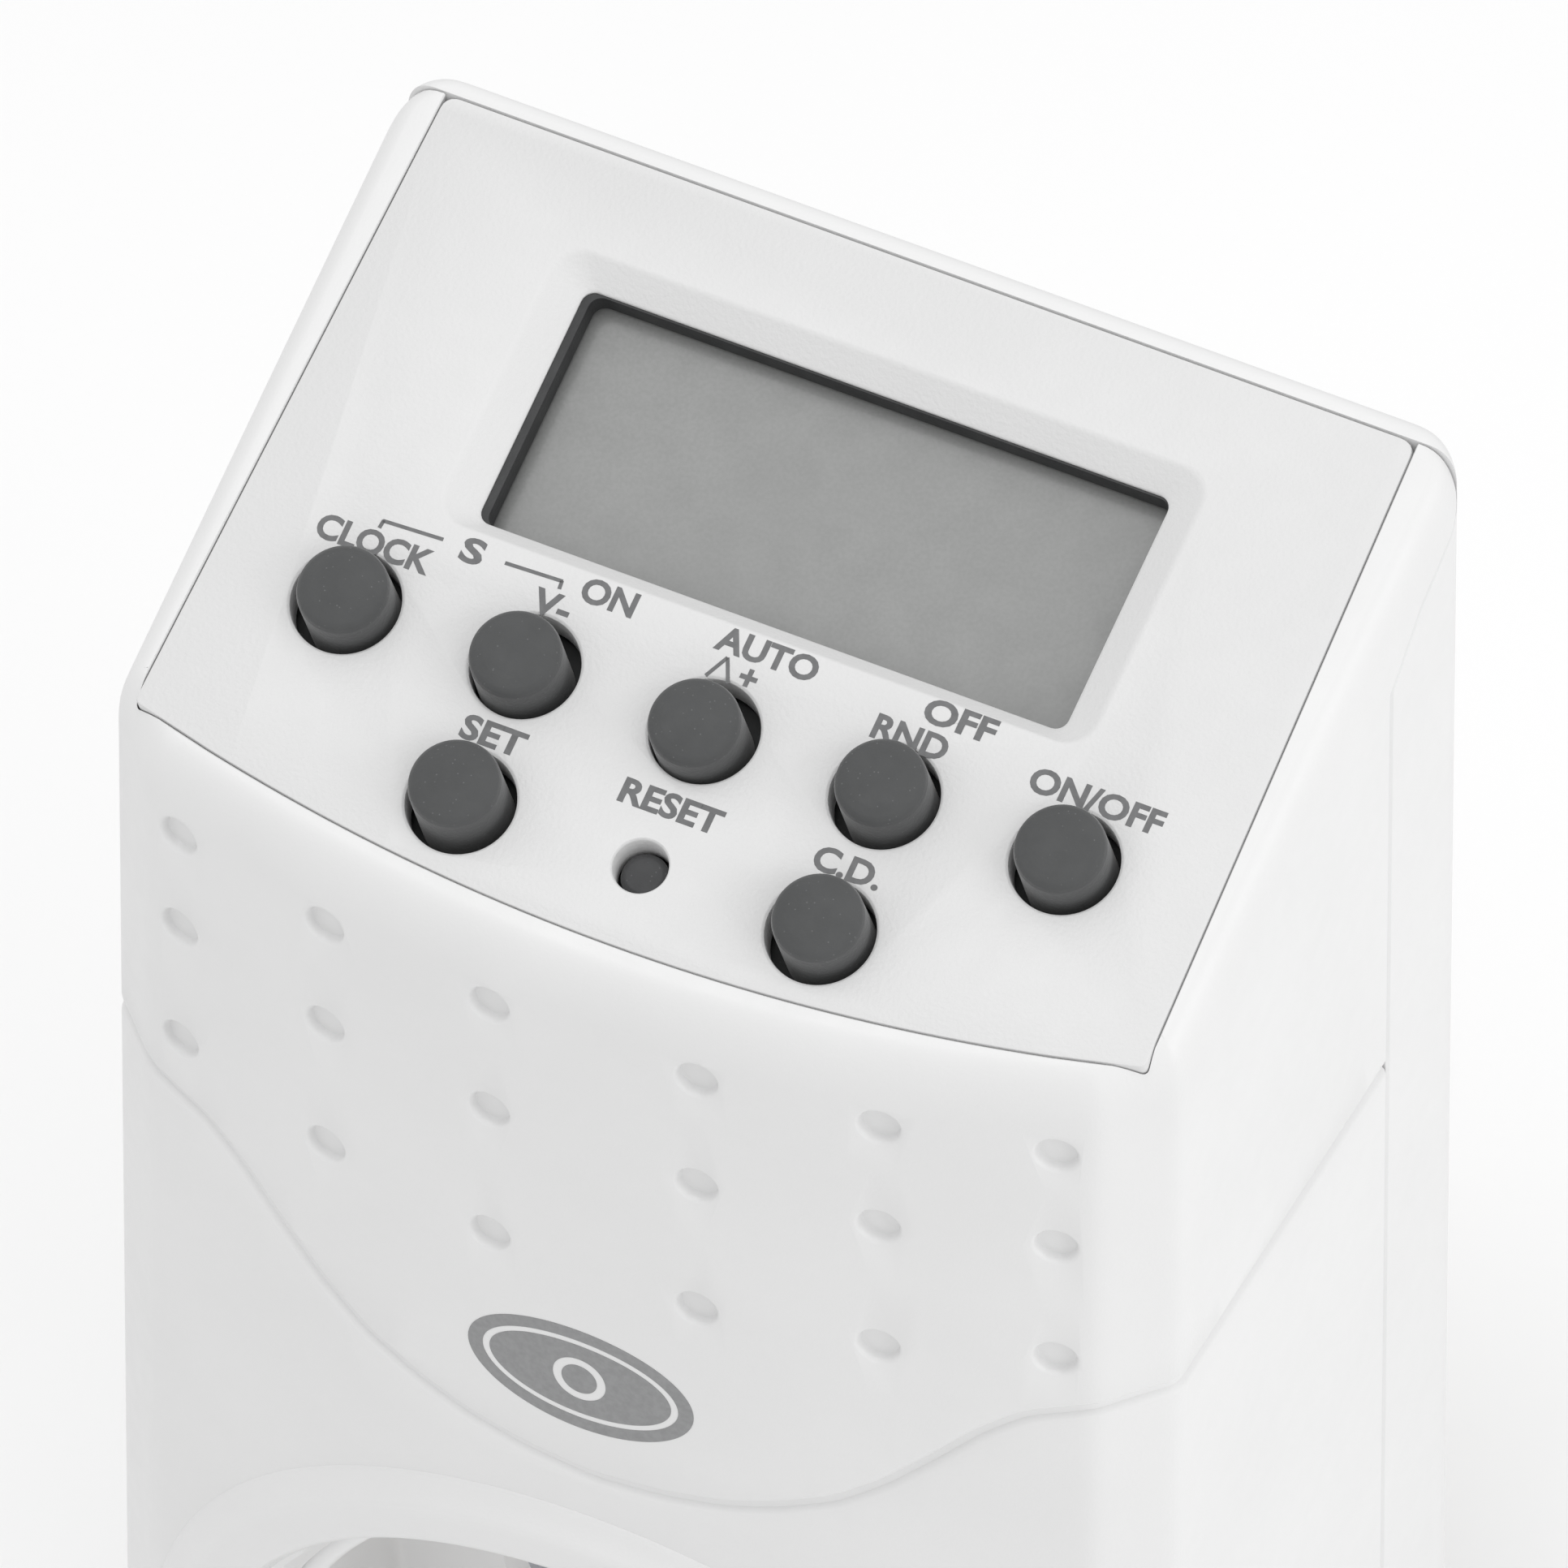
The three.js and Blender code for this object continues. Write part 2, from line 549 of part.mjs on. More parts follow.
function shutterSpring() {
  const turns = 6;
  const stepsPerTurn = 8;
  const radius = 0.7;
  const middleY = (SHUTTER_Y[0] + SHUTTER_Y[1]) / 2;
  const points = [];
  for (let i = 0; i <= turns * stepsPerTurn; i += 1) {
    const angle = (i / stepsPerTurn) * Math.PI * 2;
    const x = THREE.MathUtils.lerp(SPRING_X[0] + 0.3, SPRING_X[1] - 0.3, i / (turns * stepsPerTurn));
    points.push([x, middleY + radius * Math.cos(angle), radius * Math.sin(angle)]);
  }
  const wire = new THREE.Shape().absarc(0, 0, 0.18, 0, Math.PI * 2);
  return alongPath(wire, points, turns * stepsPerTurn);
}

add('shutter_spring', shutterSpring(), STEEL);

// The contact block closes the shutter's track and carries the two line contacts.
const BLOCK_Y = [SHUTTER_Y[1] + GAP, SHUTTER_Y[1] + GAP + 2.4];

function contactBlock() {
  const plate = box([-27.4, 20.4], BLOCK_Y, [-8.5, 8.5]);
  const rails = [[-8.5, -4.7], [4.7, 8.5]].map((z) => box([-19.5, 20.4], [SHUTTER_Y[0], BLOCK_Y[1]], z));
  const lug = box([-27.4, -26.6], [SHUTTER_Y[0], BLOCK_Y[1]], [-2.5, 2.5]);
  const holes = [-PIN_X, PIN_X].map((x) => rodY(3.6, -60, -20, x, 0, 24));
  return cut(join(plate, ...rails, lug), ...holes);
}

add('contact_block', contactBlock(), BLACK);

// Each line contact is two sprung leaves that grip a pin, joined above it, with a solder tail.
const CONTACT_Y = [BLOCK_Y[1] + GAP, -24.5];

function lineContact(x) {
  const [front, back] = CONTACT_Y;
  const thick = 0.6;
  const grip = PIN_R - 0.2;
  const open = PIN_R + 0.8;
  const leaf = (side) => outline([
    [side * open, front], [side * (open + thick), front], [side * (grip + thick), front + 3],
    [side * (grip + thick), back], [side * grip, back], [side * grip, front + 3],
  ]);
  const leaves = [-1, 1].map((side) => solid(extruded(leaf(side), 6.6).translate(x, 0, -3)));
  const web = box([x - grip - thick, x + grip + thick], [back - 2.4, back], [3, 3.6]);
  const tail = box([x - 1, x + 1], [back - thick, back], [3, 6.5]);
  return join(...leaves, web, tail);
}

add('live_contact', lineContact(PIN_X), COPPER);
add('neutral_contact', lineContact(-PIN_X), COPPER);

// Each earth strap runs from the plug's side groove, through the back wall, to a bowed clip in the well.
function earthStrap(side) {
  const low = STRAP_MID - STRAP_THICK / 2;
  const high = STRAP_MID + STRAP_THICK / 2;
  const bow = 1.6;
  const points = [
    [-0.8, low - 0.2], [-0.8, high - 0.2], [-3, high + 0.9], [-12, high + 0.9], [-15, high],
    [-42.6, high], [-46, high - bow], [-49, high - bow], [-53.4, high + 0.4],
    [-54, low + 0.8], [-53.4, low + 0.3], [-49.2, low - bow], [-45.8, low - bow], [-42.4, low],
  ];
  const shape = outline(points.map(([y, z]) => [y, side * z]));
  return prismX(shape, -EARTH_WIDTH / 2, EARTH_WIDTH / 2);
}

add('earth_strap_top', earthStrap(1), BRASS);
add('earth_strap_bottom', earthStrap(-1), BRASS);
add('earth_bridge', box([-2.5, 2.5], [-31.2, -30.4], [-STRAP_MID + 0.9, STRAP_MID - 0.9]), BRASS);

// ---- Plug ----

const CARRIER_R = PLUG_R - 4.4 - GAP;
const CARRIER_Y = [-3.2, 0];

function pinCarrier() {
  const disc = rodY(CARRIER_R, CARRIER_Y[0], CARRIER_Y[1], 0, 0, ROUND);
  const holes = [-PIN_X, PIN_X].map((x) => rodY(PIN_R + GAP, -10, 5, x, 0, 20));
  return cut(disc, ...holes);
}

add('pin_carrier', pinCarrier(), WHITE);

// A pin has a rounded tip, a flange behind the carrier and a narrower solder tail.
function plugPin(x) {
  const flange = CARRIER_Y[0] - GAP;
  return turnedY([
    [0, -13], [1.3, -13], [1.3, flange - 1.4], [3.6, flange - 1.4], [3.6, flange],
    [PIN_R, flange], [PIN_R, PIN_LENGTH - 1.6], [PIN_R * 0.87, PIN_LENGTH - 0.7],
    [PIN_R * 0.5, PIN_LENGTH - 0.12], [0, PIN_LENGTH],
  ], 20, x);
}

add('plug_pin_live', plugPin(PIN_X), NICKEL);
add('plug_pin_neutral', plugPin(-PIN_X), NICKEL);

// ---- Power board and what stands on it ----

const POWER_Y = [-22.4, -20.8];
const ON_POWER = POWER_Y[0] - GAP;
const FOOT = 36.5;                  // lower edge of the power board, which its parts are placed from

add('power_board', box([-21, 21], POWER_Y, [FOOT, FOOT + 32.5]), BOARD_TAN);

// A block on the board: its span across, its height off the board and its span up from the foot.
const standing = (x, depth, [z0, z1]) => box(x, [ON_POWER - depth, ON_POWER], [FOOT + z0, FOOT + z1]);
add('film_capacitor', standing([1.5, 19], 11.5, [1, 8]), CAPACITOR_YELLOW);
add('reservoir_capacitor', rodY(4.2, ON_POWER - 14, ON_POWER, 15.5, FOOT + 17, 24), DARK);
add('dropper_resistor', rodX(2, 2.5, 13, ON_POWER - 2.2, FOOT + 27, 16), RESISTOR_GREY);
add('varistor', rodX(4.5, -0.5, 3.2, ON_POWER - 5, FOOT + 20, 20), CERAMIC_BLUE);
const DIODE_ROWS = [10.9, 13.7];
DIODE_ROWS.forEach((z, index) => {
  add(`diode_${index + 1}`, rodX(1.1, 4.4, 9.4, ON_POWER - 1.3, FOOT + z, 12), BLACK);
});
add('thermal_fuse', rodX(1.4, 2, 13, ON_POWER - 1.7, FOOT + 30.8, 14), NICKEL);

// ---- Relay: base, yoke, coil, hinged armature with the moving contact, fixed contact, case ----

const RELAY = { x0: -19.5, x1: -2.5, z0: 3, z1: 20.5 };
const RELAY_BASE_TOP = ON_POWER - 1.8;

add('relay_base', standing([RELAY.x0, RELAY.x1], 1.8, [RELAY.z0, RELAY.z1]), RELAY_BLUE);

// The coil's axis points away from the board. Its bobbin and winding are one turned solid.
const COIL = { x: -11, z: FOOT + 8.5, core: 1.6 };
const COIL_LOW = RELAY_BASE_TOP - GAP;
add('relay_coil', turnedY([
  [0, COIL_LOW], [4.3, COIL_LOW], [4.3, COIL_LOW - 1], [3.7, COIL_LOW - 1], [3.7, COIL_LOW - 8],
  [4.3, COIL_LOW - 8], [4.3, COIL_LOW - 8.8], [COIL.core, COIL_LOW - 8.8],
  [COIL.core, COIL_LOW - 9.4], [0, COIL_LOW - 9.4],
].reverse(), 16, COIL.x, COIL.z), COPPER);

const YOKE_TIP = COIL_LOW - 9.2;
const YOKE_Z = [FOOT + 13.3, FOOT + 14.5];
add('relay_yoke', box([-14, -8], [YOKE_TIP, COIL_LOW], YOKE_Z), STEEL);

// The armature pivots on the yoke's tip and closes the small gap to the coil's core.
const ARMATURE_Y = [YOKE_TIP - GAP - 1, YOKE_TIP - GAP - 0.01];
const ARMATURE_GAP = 0.5;

function armature() {
  const tilt = ARMATURE_GAP;
  return prismX(outline([
    [ARMATURE_Y[0] - tilt, FOOT + 5], [ARMATURE_Y[1] - tilt, FOOT + 5], [ARMATURE_Y[1], YOKE_Z[0]],
    [ARMATURE_Y[1], YOKE_Z[1]], [ARMATURE_Y[0], YOKE_Z[1]], [ARMATURE_Y[0], YOKE_Z[0]],
  ]), -14, -8);
}

add('relay_armature', armature(), STEEL);

// The moving contact is a leaf on the armature's front that reaches up past the pivot.
// The fixed contact comes over it from the base and waits a small gap in front.
const LEAF_THICK = 0.4;
const CONTACT_GAP = 0.4;
const leafFront = ARMATURE_Y[0] - ARMATURE_GAP - GAP - LEAF_THICK;
add('relay_moving_contact', box([-13, -9], [leafFront, leafFront + LEAF_THICK],
  [FOOT + 6.5, FOOT + 18.7]), BRASS);
const fixedFront = leafFront - CONTACT_GAP - LEAF_THICK;
add('relay_fixed_contact', join(
  box([-12.5, -9.5], [fixedFront, COIL_LOW], [FOOT + 19, FOOT + 19.4]),
  box([-12.5, -9.5], [fixedFront, fixedFront + LEAF_THICK], [FOOT + 16.9, FOOT + 19.4]),
), BRASS);

function relayCase() {
  const front = leafFront - 2;
  const [low, high] = [FOOT + RELAY.z0, FOOT + RELAY.z1];
  const outer = box([RELAY.x0, RELAY.x1], [front - 0.8, COIL_LOW], [low, high]);
  const inner = box([RELAY.x0 + 0.8, RELAY.x1 - 0.8], [front, COIL_LOW + 1], [low + 0.8, high - 0.8]);
  return cut(outer, inner);
}

add('relay_case', relayCase(), RELAY_BLUE);

// ---- Wires and ribbon ----

const wireSection = new THREE.Shape().absarc(0, 0, 0.9, 0, Math.PI * 2);
const WIRE_STEPS = 14;

// A line wire leaves its pin's tail, turns up behind the contacts and ends at the power board's foot.
function lineWire(side) {
  return alongPath(wireSection, [
    [side * PIN_X, -13.3, 0], [side * PIN_X, -18.5, 0.4], [side * 9.3, -21.4, 3.5],
    [side * 9.6, -21.8, 12], [side * 11, -21.8, 24], [side * 13, -21.8, FOOT - 0.7],
  ], WIRE_STEPS);
}

add('live_wire', lineWire(1), WIRE_BROWN);
add('neutral_wire', lineWire(-1), WIRE_BLUE);
add('switched_wire', alongPath(wireSection, [
  [PIN_X, -24.8, 7.8], [8.6, -26, 13], [6.4, -26.5, 20], [3, -24.5, 28], [1, -21.8, FOOT - 0.7],
], WIRE_STEPS), WIRE_BLACK);

// The ribbon is a thin band that rises in a curve from the power board to the control board.
function ribbonCable() {
  const halfThick = 0.3;
  const route = new THREE.SplineCurve([[0, 23.1], [-4.5, 23.7], [-7.5, 27], [-8.3, 31.3]]
    .map(([y, z]) => new THREE.Vector2(ON_POWER + y, FOOT + z)));
  const steps = 12;
  const sides = [1, -1].map((side) => Array.from({ length: steps + 1 }, (_, index) => {
    const point = route.getPoint(index / steps);
    const along = route.getTangent(index / steps);
    return [point.x - side * halfThick * along.y, point.y + side * halfThick * along.x];
  }));
  return prismX(outline([...sides[0], ...sides[1].reverse()]), -16, -8);
}

add('ribbon_cable', ribbonCable(), RIBBON_GREY);

// ---- Housing screws ----

const HEAD_BACK = BACK_Y - 2.2;

function housingScrew(x, z) {
  const tip = -42;
  const head = turnedY([
    [0, tip], [0.9, tip + 1.4], [SCREW_R, tip + 2.6], [SCREW_R, HEAD_BACK - 2.1],
    [2.5, HEAD_BACK - 2.1], [2.5, HEAD_BACK - 0.6], [2.1, HEAD_BACK], [0, HEAD_BACK],
  ], 14, x, z);
  const slotDeep = HEAD_BACK - 0.9;
  const slots = [
    box([x - 1.5, x + 1.5], [slotDeep, BACK_Y], [z - 0.25, z + 0.25]),
    box([x - 0.25, x + 0.25], [slotDeep, BACK_Y], [z - 1.5, z + 1.5]),
  ];
  return cut(head, ...slots);
}

SCREW_PLACES.forEach(([x, z], index) => add(`housing_screw_${index + 1}`, housingScrew(x, z), STEEL));

export default timer;
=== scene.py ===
"""A plug-in digital timer: fine meshes, materials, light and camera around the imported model.

Shapes are worked out in millimetres and scaled to metres when a piece is finished.
"""
import json
import math

import bmesh
import bpy
import numpy as np
from mathutils import Matrix, Vector


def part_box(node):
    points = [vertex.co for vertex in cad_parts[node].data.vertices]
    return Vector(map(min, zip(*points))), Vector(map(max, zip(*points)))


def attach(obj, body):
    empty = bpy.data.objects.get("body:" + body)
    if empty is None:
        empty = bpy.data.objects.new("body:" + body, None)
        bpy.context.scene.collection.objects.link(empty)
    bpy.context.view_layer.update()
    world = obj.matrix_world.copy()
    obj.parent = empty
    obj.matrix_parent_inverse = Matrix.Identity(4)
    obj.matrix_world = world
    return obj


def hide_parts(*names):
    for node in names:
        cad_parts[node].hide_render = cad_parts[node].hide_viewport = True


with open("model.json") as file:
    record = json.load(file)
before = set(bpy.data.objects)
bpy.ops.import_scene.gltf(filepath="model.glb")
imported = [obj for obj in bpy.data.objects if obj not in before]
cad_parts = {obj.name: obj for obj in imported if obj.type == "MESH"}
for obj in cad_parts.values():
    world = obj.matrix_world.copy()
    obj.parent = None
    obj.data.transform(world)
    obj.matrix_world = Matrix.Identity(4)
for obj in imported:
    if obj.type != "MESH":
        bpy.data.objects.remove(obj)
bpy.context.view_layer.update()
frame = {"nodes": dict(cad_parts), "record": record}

MM = 0.001

# ---- Sizes in millimetres, as in the CAD model ----

HALF_WIDTH = 30
BACK_Y = -17.5                  # back wall, where the plug's body starts
FRONT_Y = -58.2                 # front wall at the middle
FRONT_RADIUS = 106              # sideways curve of the front wall
FRONT_EDGE_X = 26.7             # where the front wall meets the corner chamfers
CHAMFER_BACK_Y = -51.6          # where the chamfers meet the side walls
REAR_CORNER = 3
SEAM_Y = -27.4                  # joint between the two housings
BASE_Z = -33
WALL = 2
PANEL_Y = -44.5                 # the middle key's place on the panel's face
PANEL_Z = 73
SLOPE = math.radians(21)
PANEL_THICK = 2
KEY_ROW = -7.9                  # second row, below the first
KEY_X = -0.3
KEY_PITCH = 10.1
RESET_HOLE_R = 1.45
WELL_R = 19.75                  # standard earthed socket
FLOOR_Y = -41.1
FLOOR_THICK = 4.4
CUP_R = 21.35
PIN_X = 9.5
PLUG_R = 18.5
PLUG_FLAT = 16.1                # floor of the earth grooves, from the axis
SCREWS = [(-24.6, -27.8), (24.6, -27.8), (-24.6, 27), (24.6, 27)]

# ---- Sizes that are finer or a little different here ----

RIM_Y = -19.0                   # joint between the panel and the rim above it
SEAM_GAP = 0.05                 # half the gap between the two housings
FOOT_RADIUS = 1                 # rounding of the lower edge
SHOULDER, REAR_SHOULDER = (1.5, 3.2), (1.1, 1.9)   # inset and depth of the upper edge's rounding
PANEL_TOP, PANEL_TOP_HALF = 30.7, 27.1             # distance up the slope, and half width there
PANEL_LOW, PANEL_LOW_HALF = -8.75, 28.3
PANEL_TAPER = 0.03              # how fast the half width grows down the slope, near the top
PANEL_SAG = 3.5                 # how far the curved lower edge hangs below its corners
WINDOW_X, WINDOW_Y, WINDOW_W, WINDOW_H = 0.05, 13.6, 33.0, 13.6
GLASS_W, GLASS_H = 36, 17
KEY_HOLE_R = 2.86
MOUTH_R = 22.5                  # hole in the front wall that the socket ring fills
BADGE_X, BADGE_Z = -0.7, PANEL_Z - 35.7

PANEL = Matrix.Translation((0, PANEL_Y, PANEL_Z)) @ Matrix.Rotation(SLOPE, 4, "X")


def along_y(x=0.0, z=0.0):
    """Axes whose local Z runs along +Y through (x, z)."""
    return Matrix.Translation((x, 0, z)) @ Matrix.Rotation(-math.pi / 2, 4, "X")


def on_panel(x, y):
    """Axes on the panel's face at (x, y), with Z straight out of it."""
    return PANEL @ Matrix.Translation((x, y, 0))


# ---- Mesh helpers ----

def mesh_object(name, points, faces, place=Matrix()):
    """A new object whose faces all look outwards."""
    mesh = bpy.data.meshes.new(name)
    mesh.from_pydata([place @ Vector(p) for p in points], [], faces)
    work = bmesh.new()
    work.from_mesh(mesh)
    bmesh.ops.recalc_face_normals(work, faces=work.faces)
    work.to_mesh(mesh)
    work.free()
    piece = bpy.data.objects.new(name, mesh)
    bpy.context.scene.collection.objects.link(piece)
    return piece


def loft(name, loops, place=Matrix(), ring=False):
    """A closed solid through matching loops; a ring joins the last loop to the first."""
    count = len(loops[0])
    points = [tuple(p) for loop in loops for p in loop]
    faces = []
    for level in range(len(loops) if ring else len(loops) - 1):
        a, b = level * count, ((level + 1) % len(loops)) * count
        faces += [(a + i, a + (i + 1) % count, b + (i + 1) % count, b + i) for i in range(count)]
    if not ring:
        faces.append(tuple(reversed(range(count))))
        faces.append(tuple(range(len(points) - count, len(points))))
    return mesh_object(name, points, faces, place)


def lathe(name, profile, place=Matrix(), segments=96):
    """Turns a profile of (radius, height) round the axis, with a flat face at each end."""
    angles = [2 * math.pi * i / segments for i in range(segments)]
    rings = [[(r * math.cos(t), r * math.sin(t), h) for t in angles] for r, h in profile]
    return loft(name, rings, place)


def soften(points, radius, steps=4):
    """Rounds the corners of an open line of points by up to the given radius."""
    result = [tuple(points[0])]
    for i in range(1, len(points) - 1):
        corner = np.array(points[i], float)
        before = np.array(points[i - 1], float) - corner
        after = np.array(points[i + 1], float) - corner
        length_a, length_b = np.linalg.norm(before), np.linalg.norm(after)
        cosine = np.clip(before @ after / (length_a * length_b), -1, 1)
        half = math.acos(cosine) / 2
        reach = min(radius / max(math.tan(half), 1e-6), 0.45 * length_a, 0.45 * length_b)
        start, end = corner + before / length_a * reach, corner + after / length_b * reach
        for step in range(steps + 1):
            t = step / steps
            result.append(tuple((1 - t) ** 2 * start + 2 * t * (1 - t) * corner + t ** 2 * end))
    return result + [tuple(points[-1])]


def combine(base, operation, *tools):
    """Applies a boolean with each tool in turn, and deletes the tools."""
    for tool in tools:
        modifier = base.modifiers.new(operation, "BOOLEAN")
        modifier.operation = operation
        modifier.solver = "MANIFOLD"
        modifier.object = tool
        bpy.context.view_layer.update()
        evaluated = base.evaluated_get(bpy.context.evaluated_depsgraph_get())
        result = bpy.data.meshes.new_from_object(evaluated)
        base.modifiers.clear()
        base.data = result
        bpy.data.objects.remove(tool)
    return base


def cut(base, *tools):
    return combine(base, "DIFFERENCE", *tools)


def join(base, *tools):
    return combine(base, "UNION", *tools)


def prism_x(name, outline, low, high):
    """A prism along X with an outline of (y, z)."""
    return loft(name, [[(x, y, z) for y, z in outline] for x in (low, high)])


def box(name, x, y, z):
    """A block from a (low, high) pair along each axis."""
    corners = [(x[0], y[0]), (x[1], y[0]), (x[1], y[1]), (x[0], y[1])]
    return loft(name, [[(a, b, h) for a, b in corners] for h in z])


def rounded_rectangle(x, y, width, height, radius, steps=6):
    """The outline of a rectangle about (x, y) with quarter circles at its corners."""
    points = []
    centres = [(1, 1, 0), (-1, 1, 90), (-1, -1, 180), (1, -1, 270)]
    for sx, sy, start in centres:
        cx, cy = x + sx * (width / 2 - radius), y + sy * (height / 2 - radius)
        for step in range(steps + 1):
            t = math.radians(start + 90 * step / steps)
            points.append((cx + radius * math.cos(t), cy + radius * math.sin(t)))
    return points


def finish(piece, finish_material, body="housing", slot=None, replaces=(), angle=32):
    """Scales a piece to metres, shades it, gives it its material and ties it to the model."""
    mesh = piece.data
    mesh.transform(piece.matrix_world @ Matrix.Scale(MM, 4))
    piece.matrix_world = Matrix()
    mesh.validate()
    mesh.shade_smooth()
    mesh.set_sharp_from_angle(angle=math.radians(angle))
    mesh.materials.clear()
    mesh.materials.append(finish_material)
    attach(piece, body)
    if replaces:
        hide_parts(*replaces)
    return piece


# ---- Materials ----

class Nodes:
    """A node material in the making, with object coordinates in metres."""

    def __init__(self, name, colour, roughness, metallic=0.0):
        self.material = bpy.data.materials.new(name)
        self.material.use_nodes = True
        self.tree = self.material.node_tree
        self.shader = self.tree.nodes["Principled BSDF"]
        self.shader.inputs["Base Color"].default_value = (*colour, 1)
        self.shader.inputs["Roughness"].default_value = roughness
        self.shader.inputs["Metallic"].default_value = metallic
        self.colour = colour
        self.roughness = roughness
        self.coordinates = self.tree.nodes.new("ShaderNodeTexCoord").outputs["Object"]
        self.normal = None

    def link(self, start, end):
        self.tree.links.new(start, end)

    def noise(self, scale, detail=3.0, stretch=None):
        """Cloudy noise from 0 to 1, finer as scale grows."""
        node = self.tree.nodes.new("ShaderNodeTexNoise")
        node.inputs["Scale"].default_value = scale
        node.inputs["Detail"].default_value = detail
        source = self.coordinates
        if stretch:
            mapping = self.tree.nodes.new("ShaderNodeMapping")
            mapping.inputs["Scale"].default_value = stretch
            self.link(source, mapping.inputs["Vector"])
            source = mapping.outputs["Vector"]
        self.link(source, node.inputs["Vector"])
        return node.outputs["Fac"]

    def span(self, value, low, high, start=0.0, end=1.0):
        """Maps low..high to start..end, held at the ends."""
        node = self.tree.nodes.new("ShaderNodeMapRange")
        for socket, number in zip(("From Min", "From Max", "To Min", "To Max"), (low, high, start, end)):
            node.inputs[socket].default_value = number
        self.link(value, node.inputs["Value"])
        return node.outputs["Result"]

    def tint(self, factor, colour):
        """Mixes another colour into what the base colour has so far."""
        mix = self.tree.nodes.new("ShaderNodeMix")
        mix.data_type = "RGBA"
        base = self.shader.inputs["Base Color"]
        if base.is_linked:
            self.link(base.links[0].from_socket, mix.inputs[6])
        else:
            mix.inputs[6].default_value = base.default_value
        mix.inputs[7].default_value = (*colour, 1)
        self.link(factor, mix.inputs[0])
        self.link(mix.outputs[2], base)

    def mottle(self, scale, amount):
        """Cloudy patches that are darker by the given share."""
        darker = [c * (1 - amount) for c in self.colour]
        self.tint(self.span(self.noise(scale, 4), 0.35, 0.65), darker)

    def specks(self, scale, colour, share=0.04, strength=1.0):
        """Sparse small spots, such as dust or filler."""
        node = self.tree.nodes.new("ShaderNodeTexVoronoi")
        node.inputs["Scale"].default_value = scale
        self.link(self.coordinates, node.inputs["Vector"])
        self.tint(self.span(node.outputs["Distance"], share, share * 0.4, 0, strength), colour)

    def rough(self, scale, spread, stretch=None):
        """Lets the roughness wander by the given spread."""
        low, high = self.roughness - spread, self.roughness + spread
        self.link(self.span(self.noise(scale, 3, stretch), 0.3, 0.7, low, high),
                  self.shader.inputs["Roughness"])

    def bump(self, height, distance, strength=1.0):
        """Adds relief, the given distance high in metres, on top of any relief so far."""
        node = self.tree.nodes.new("ShaderNodeBump")
        node.inputs["Distance"].default_value = distance
        node.inputs["Strength"].default_value = strength
        self.link(height, node.inputs["Height"])
        if self.normal:
            self.link(self.normal, node.inputs["Normal"])
        self.normal = node.outputs["Normal"]
        self.link(self.normal, self.shader.inputs["Normal"])

    def set(self, **values):
        """Sets the shader's sockets by name, with _ for a space."""
        for name, value in values.items():
            self.shader.inputs[name.replace("_", " ")].default_value = value


def plastic(name, colour, roughness, grain=0.00002, mottling=0.02, grain_scale=5200):
    """Moulded plastic: spark-eroded grain, faint mottling, a slight flow wave."""
    made = Nodes(name, colour, roughness)
    made.mottle(90, mottling)
    made.rough(700, 0.06)
    made.bump(made.noise(160, 2), 0.00006, 0.25)
    made.bump(made.noise(grain_scale, 3), grain, 0.6)
    made.set(Specular_IOR_Level=0.4)
    return made.material


def rubber(name, colour):
    """Matt moulded rubber with a soft sheen and fine light dust."""
    made = Nodes(name, colour, 0.78)
    made.mottle(220, 0.08)
    made.specks(2600, [min(1, c * 2.6) for c in colour], 0.13, 0.5)
    made.rough(900, 0.08)
    made.bump(made.noise(4200, 4), 0.00004, 0.7)
    made.set(Specular_IOR_Level=0.35, Sheen_Weight=0.3, Sheen_Roughness=0.4)
    return made.material


def metal(name, colour, roughness, stretch=(1, 1, 14), wear=0.25):
    """Plated or rolled metal: drawn lines, smudges and a duller film in patches."""
    made = Nodes(name, colour, roughness, 1.0)
    made.mottle(150, wear)
    made.rough(1400, 0.09, stretch)
    made.bump(made.noise(2600, 3, stretch), 0.00001, 0.5)
    return made.material


def board(name, colour, track):
    """A circuit board: solder mask with rows of copper tracks showing through as a tint."""
    made = Nodes(name, colour, 0.4)
    wave = made.tree.nodes.new("ShaderNodeTexWave")
    wave.inputs["Scale"].default_value = 260
    wave.inputs["Distortion"].default_value = 5
    wave.inputs["Detail"].default_value = 1
    made.link(made.coordinates, wave.inputs["Vector"])
    made.tint(made.span(wave.outputs["Fac"], 0.62, 0.68, 0, 0.5), track)
    made.mottle(300, 0.12)
    made.rough(800, 0.08)
    made.bump(wave.outputs["Fac"], 0.00003, 0.3)
    return made.material


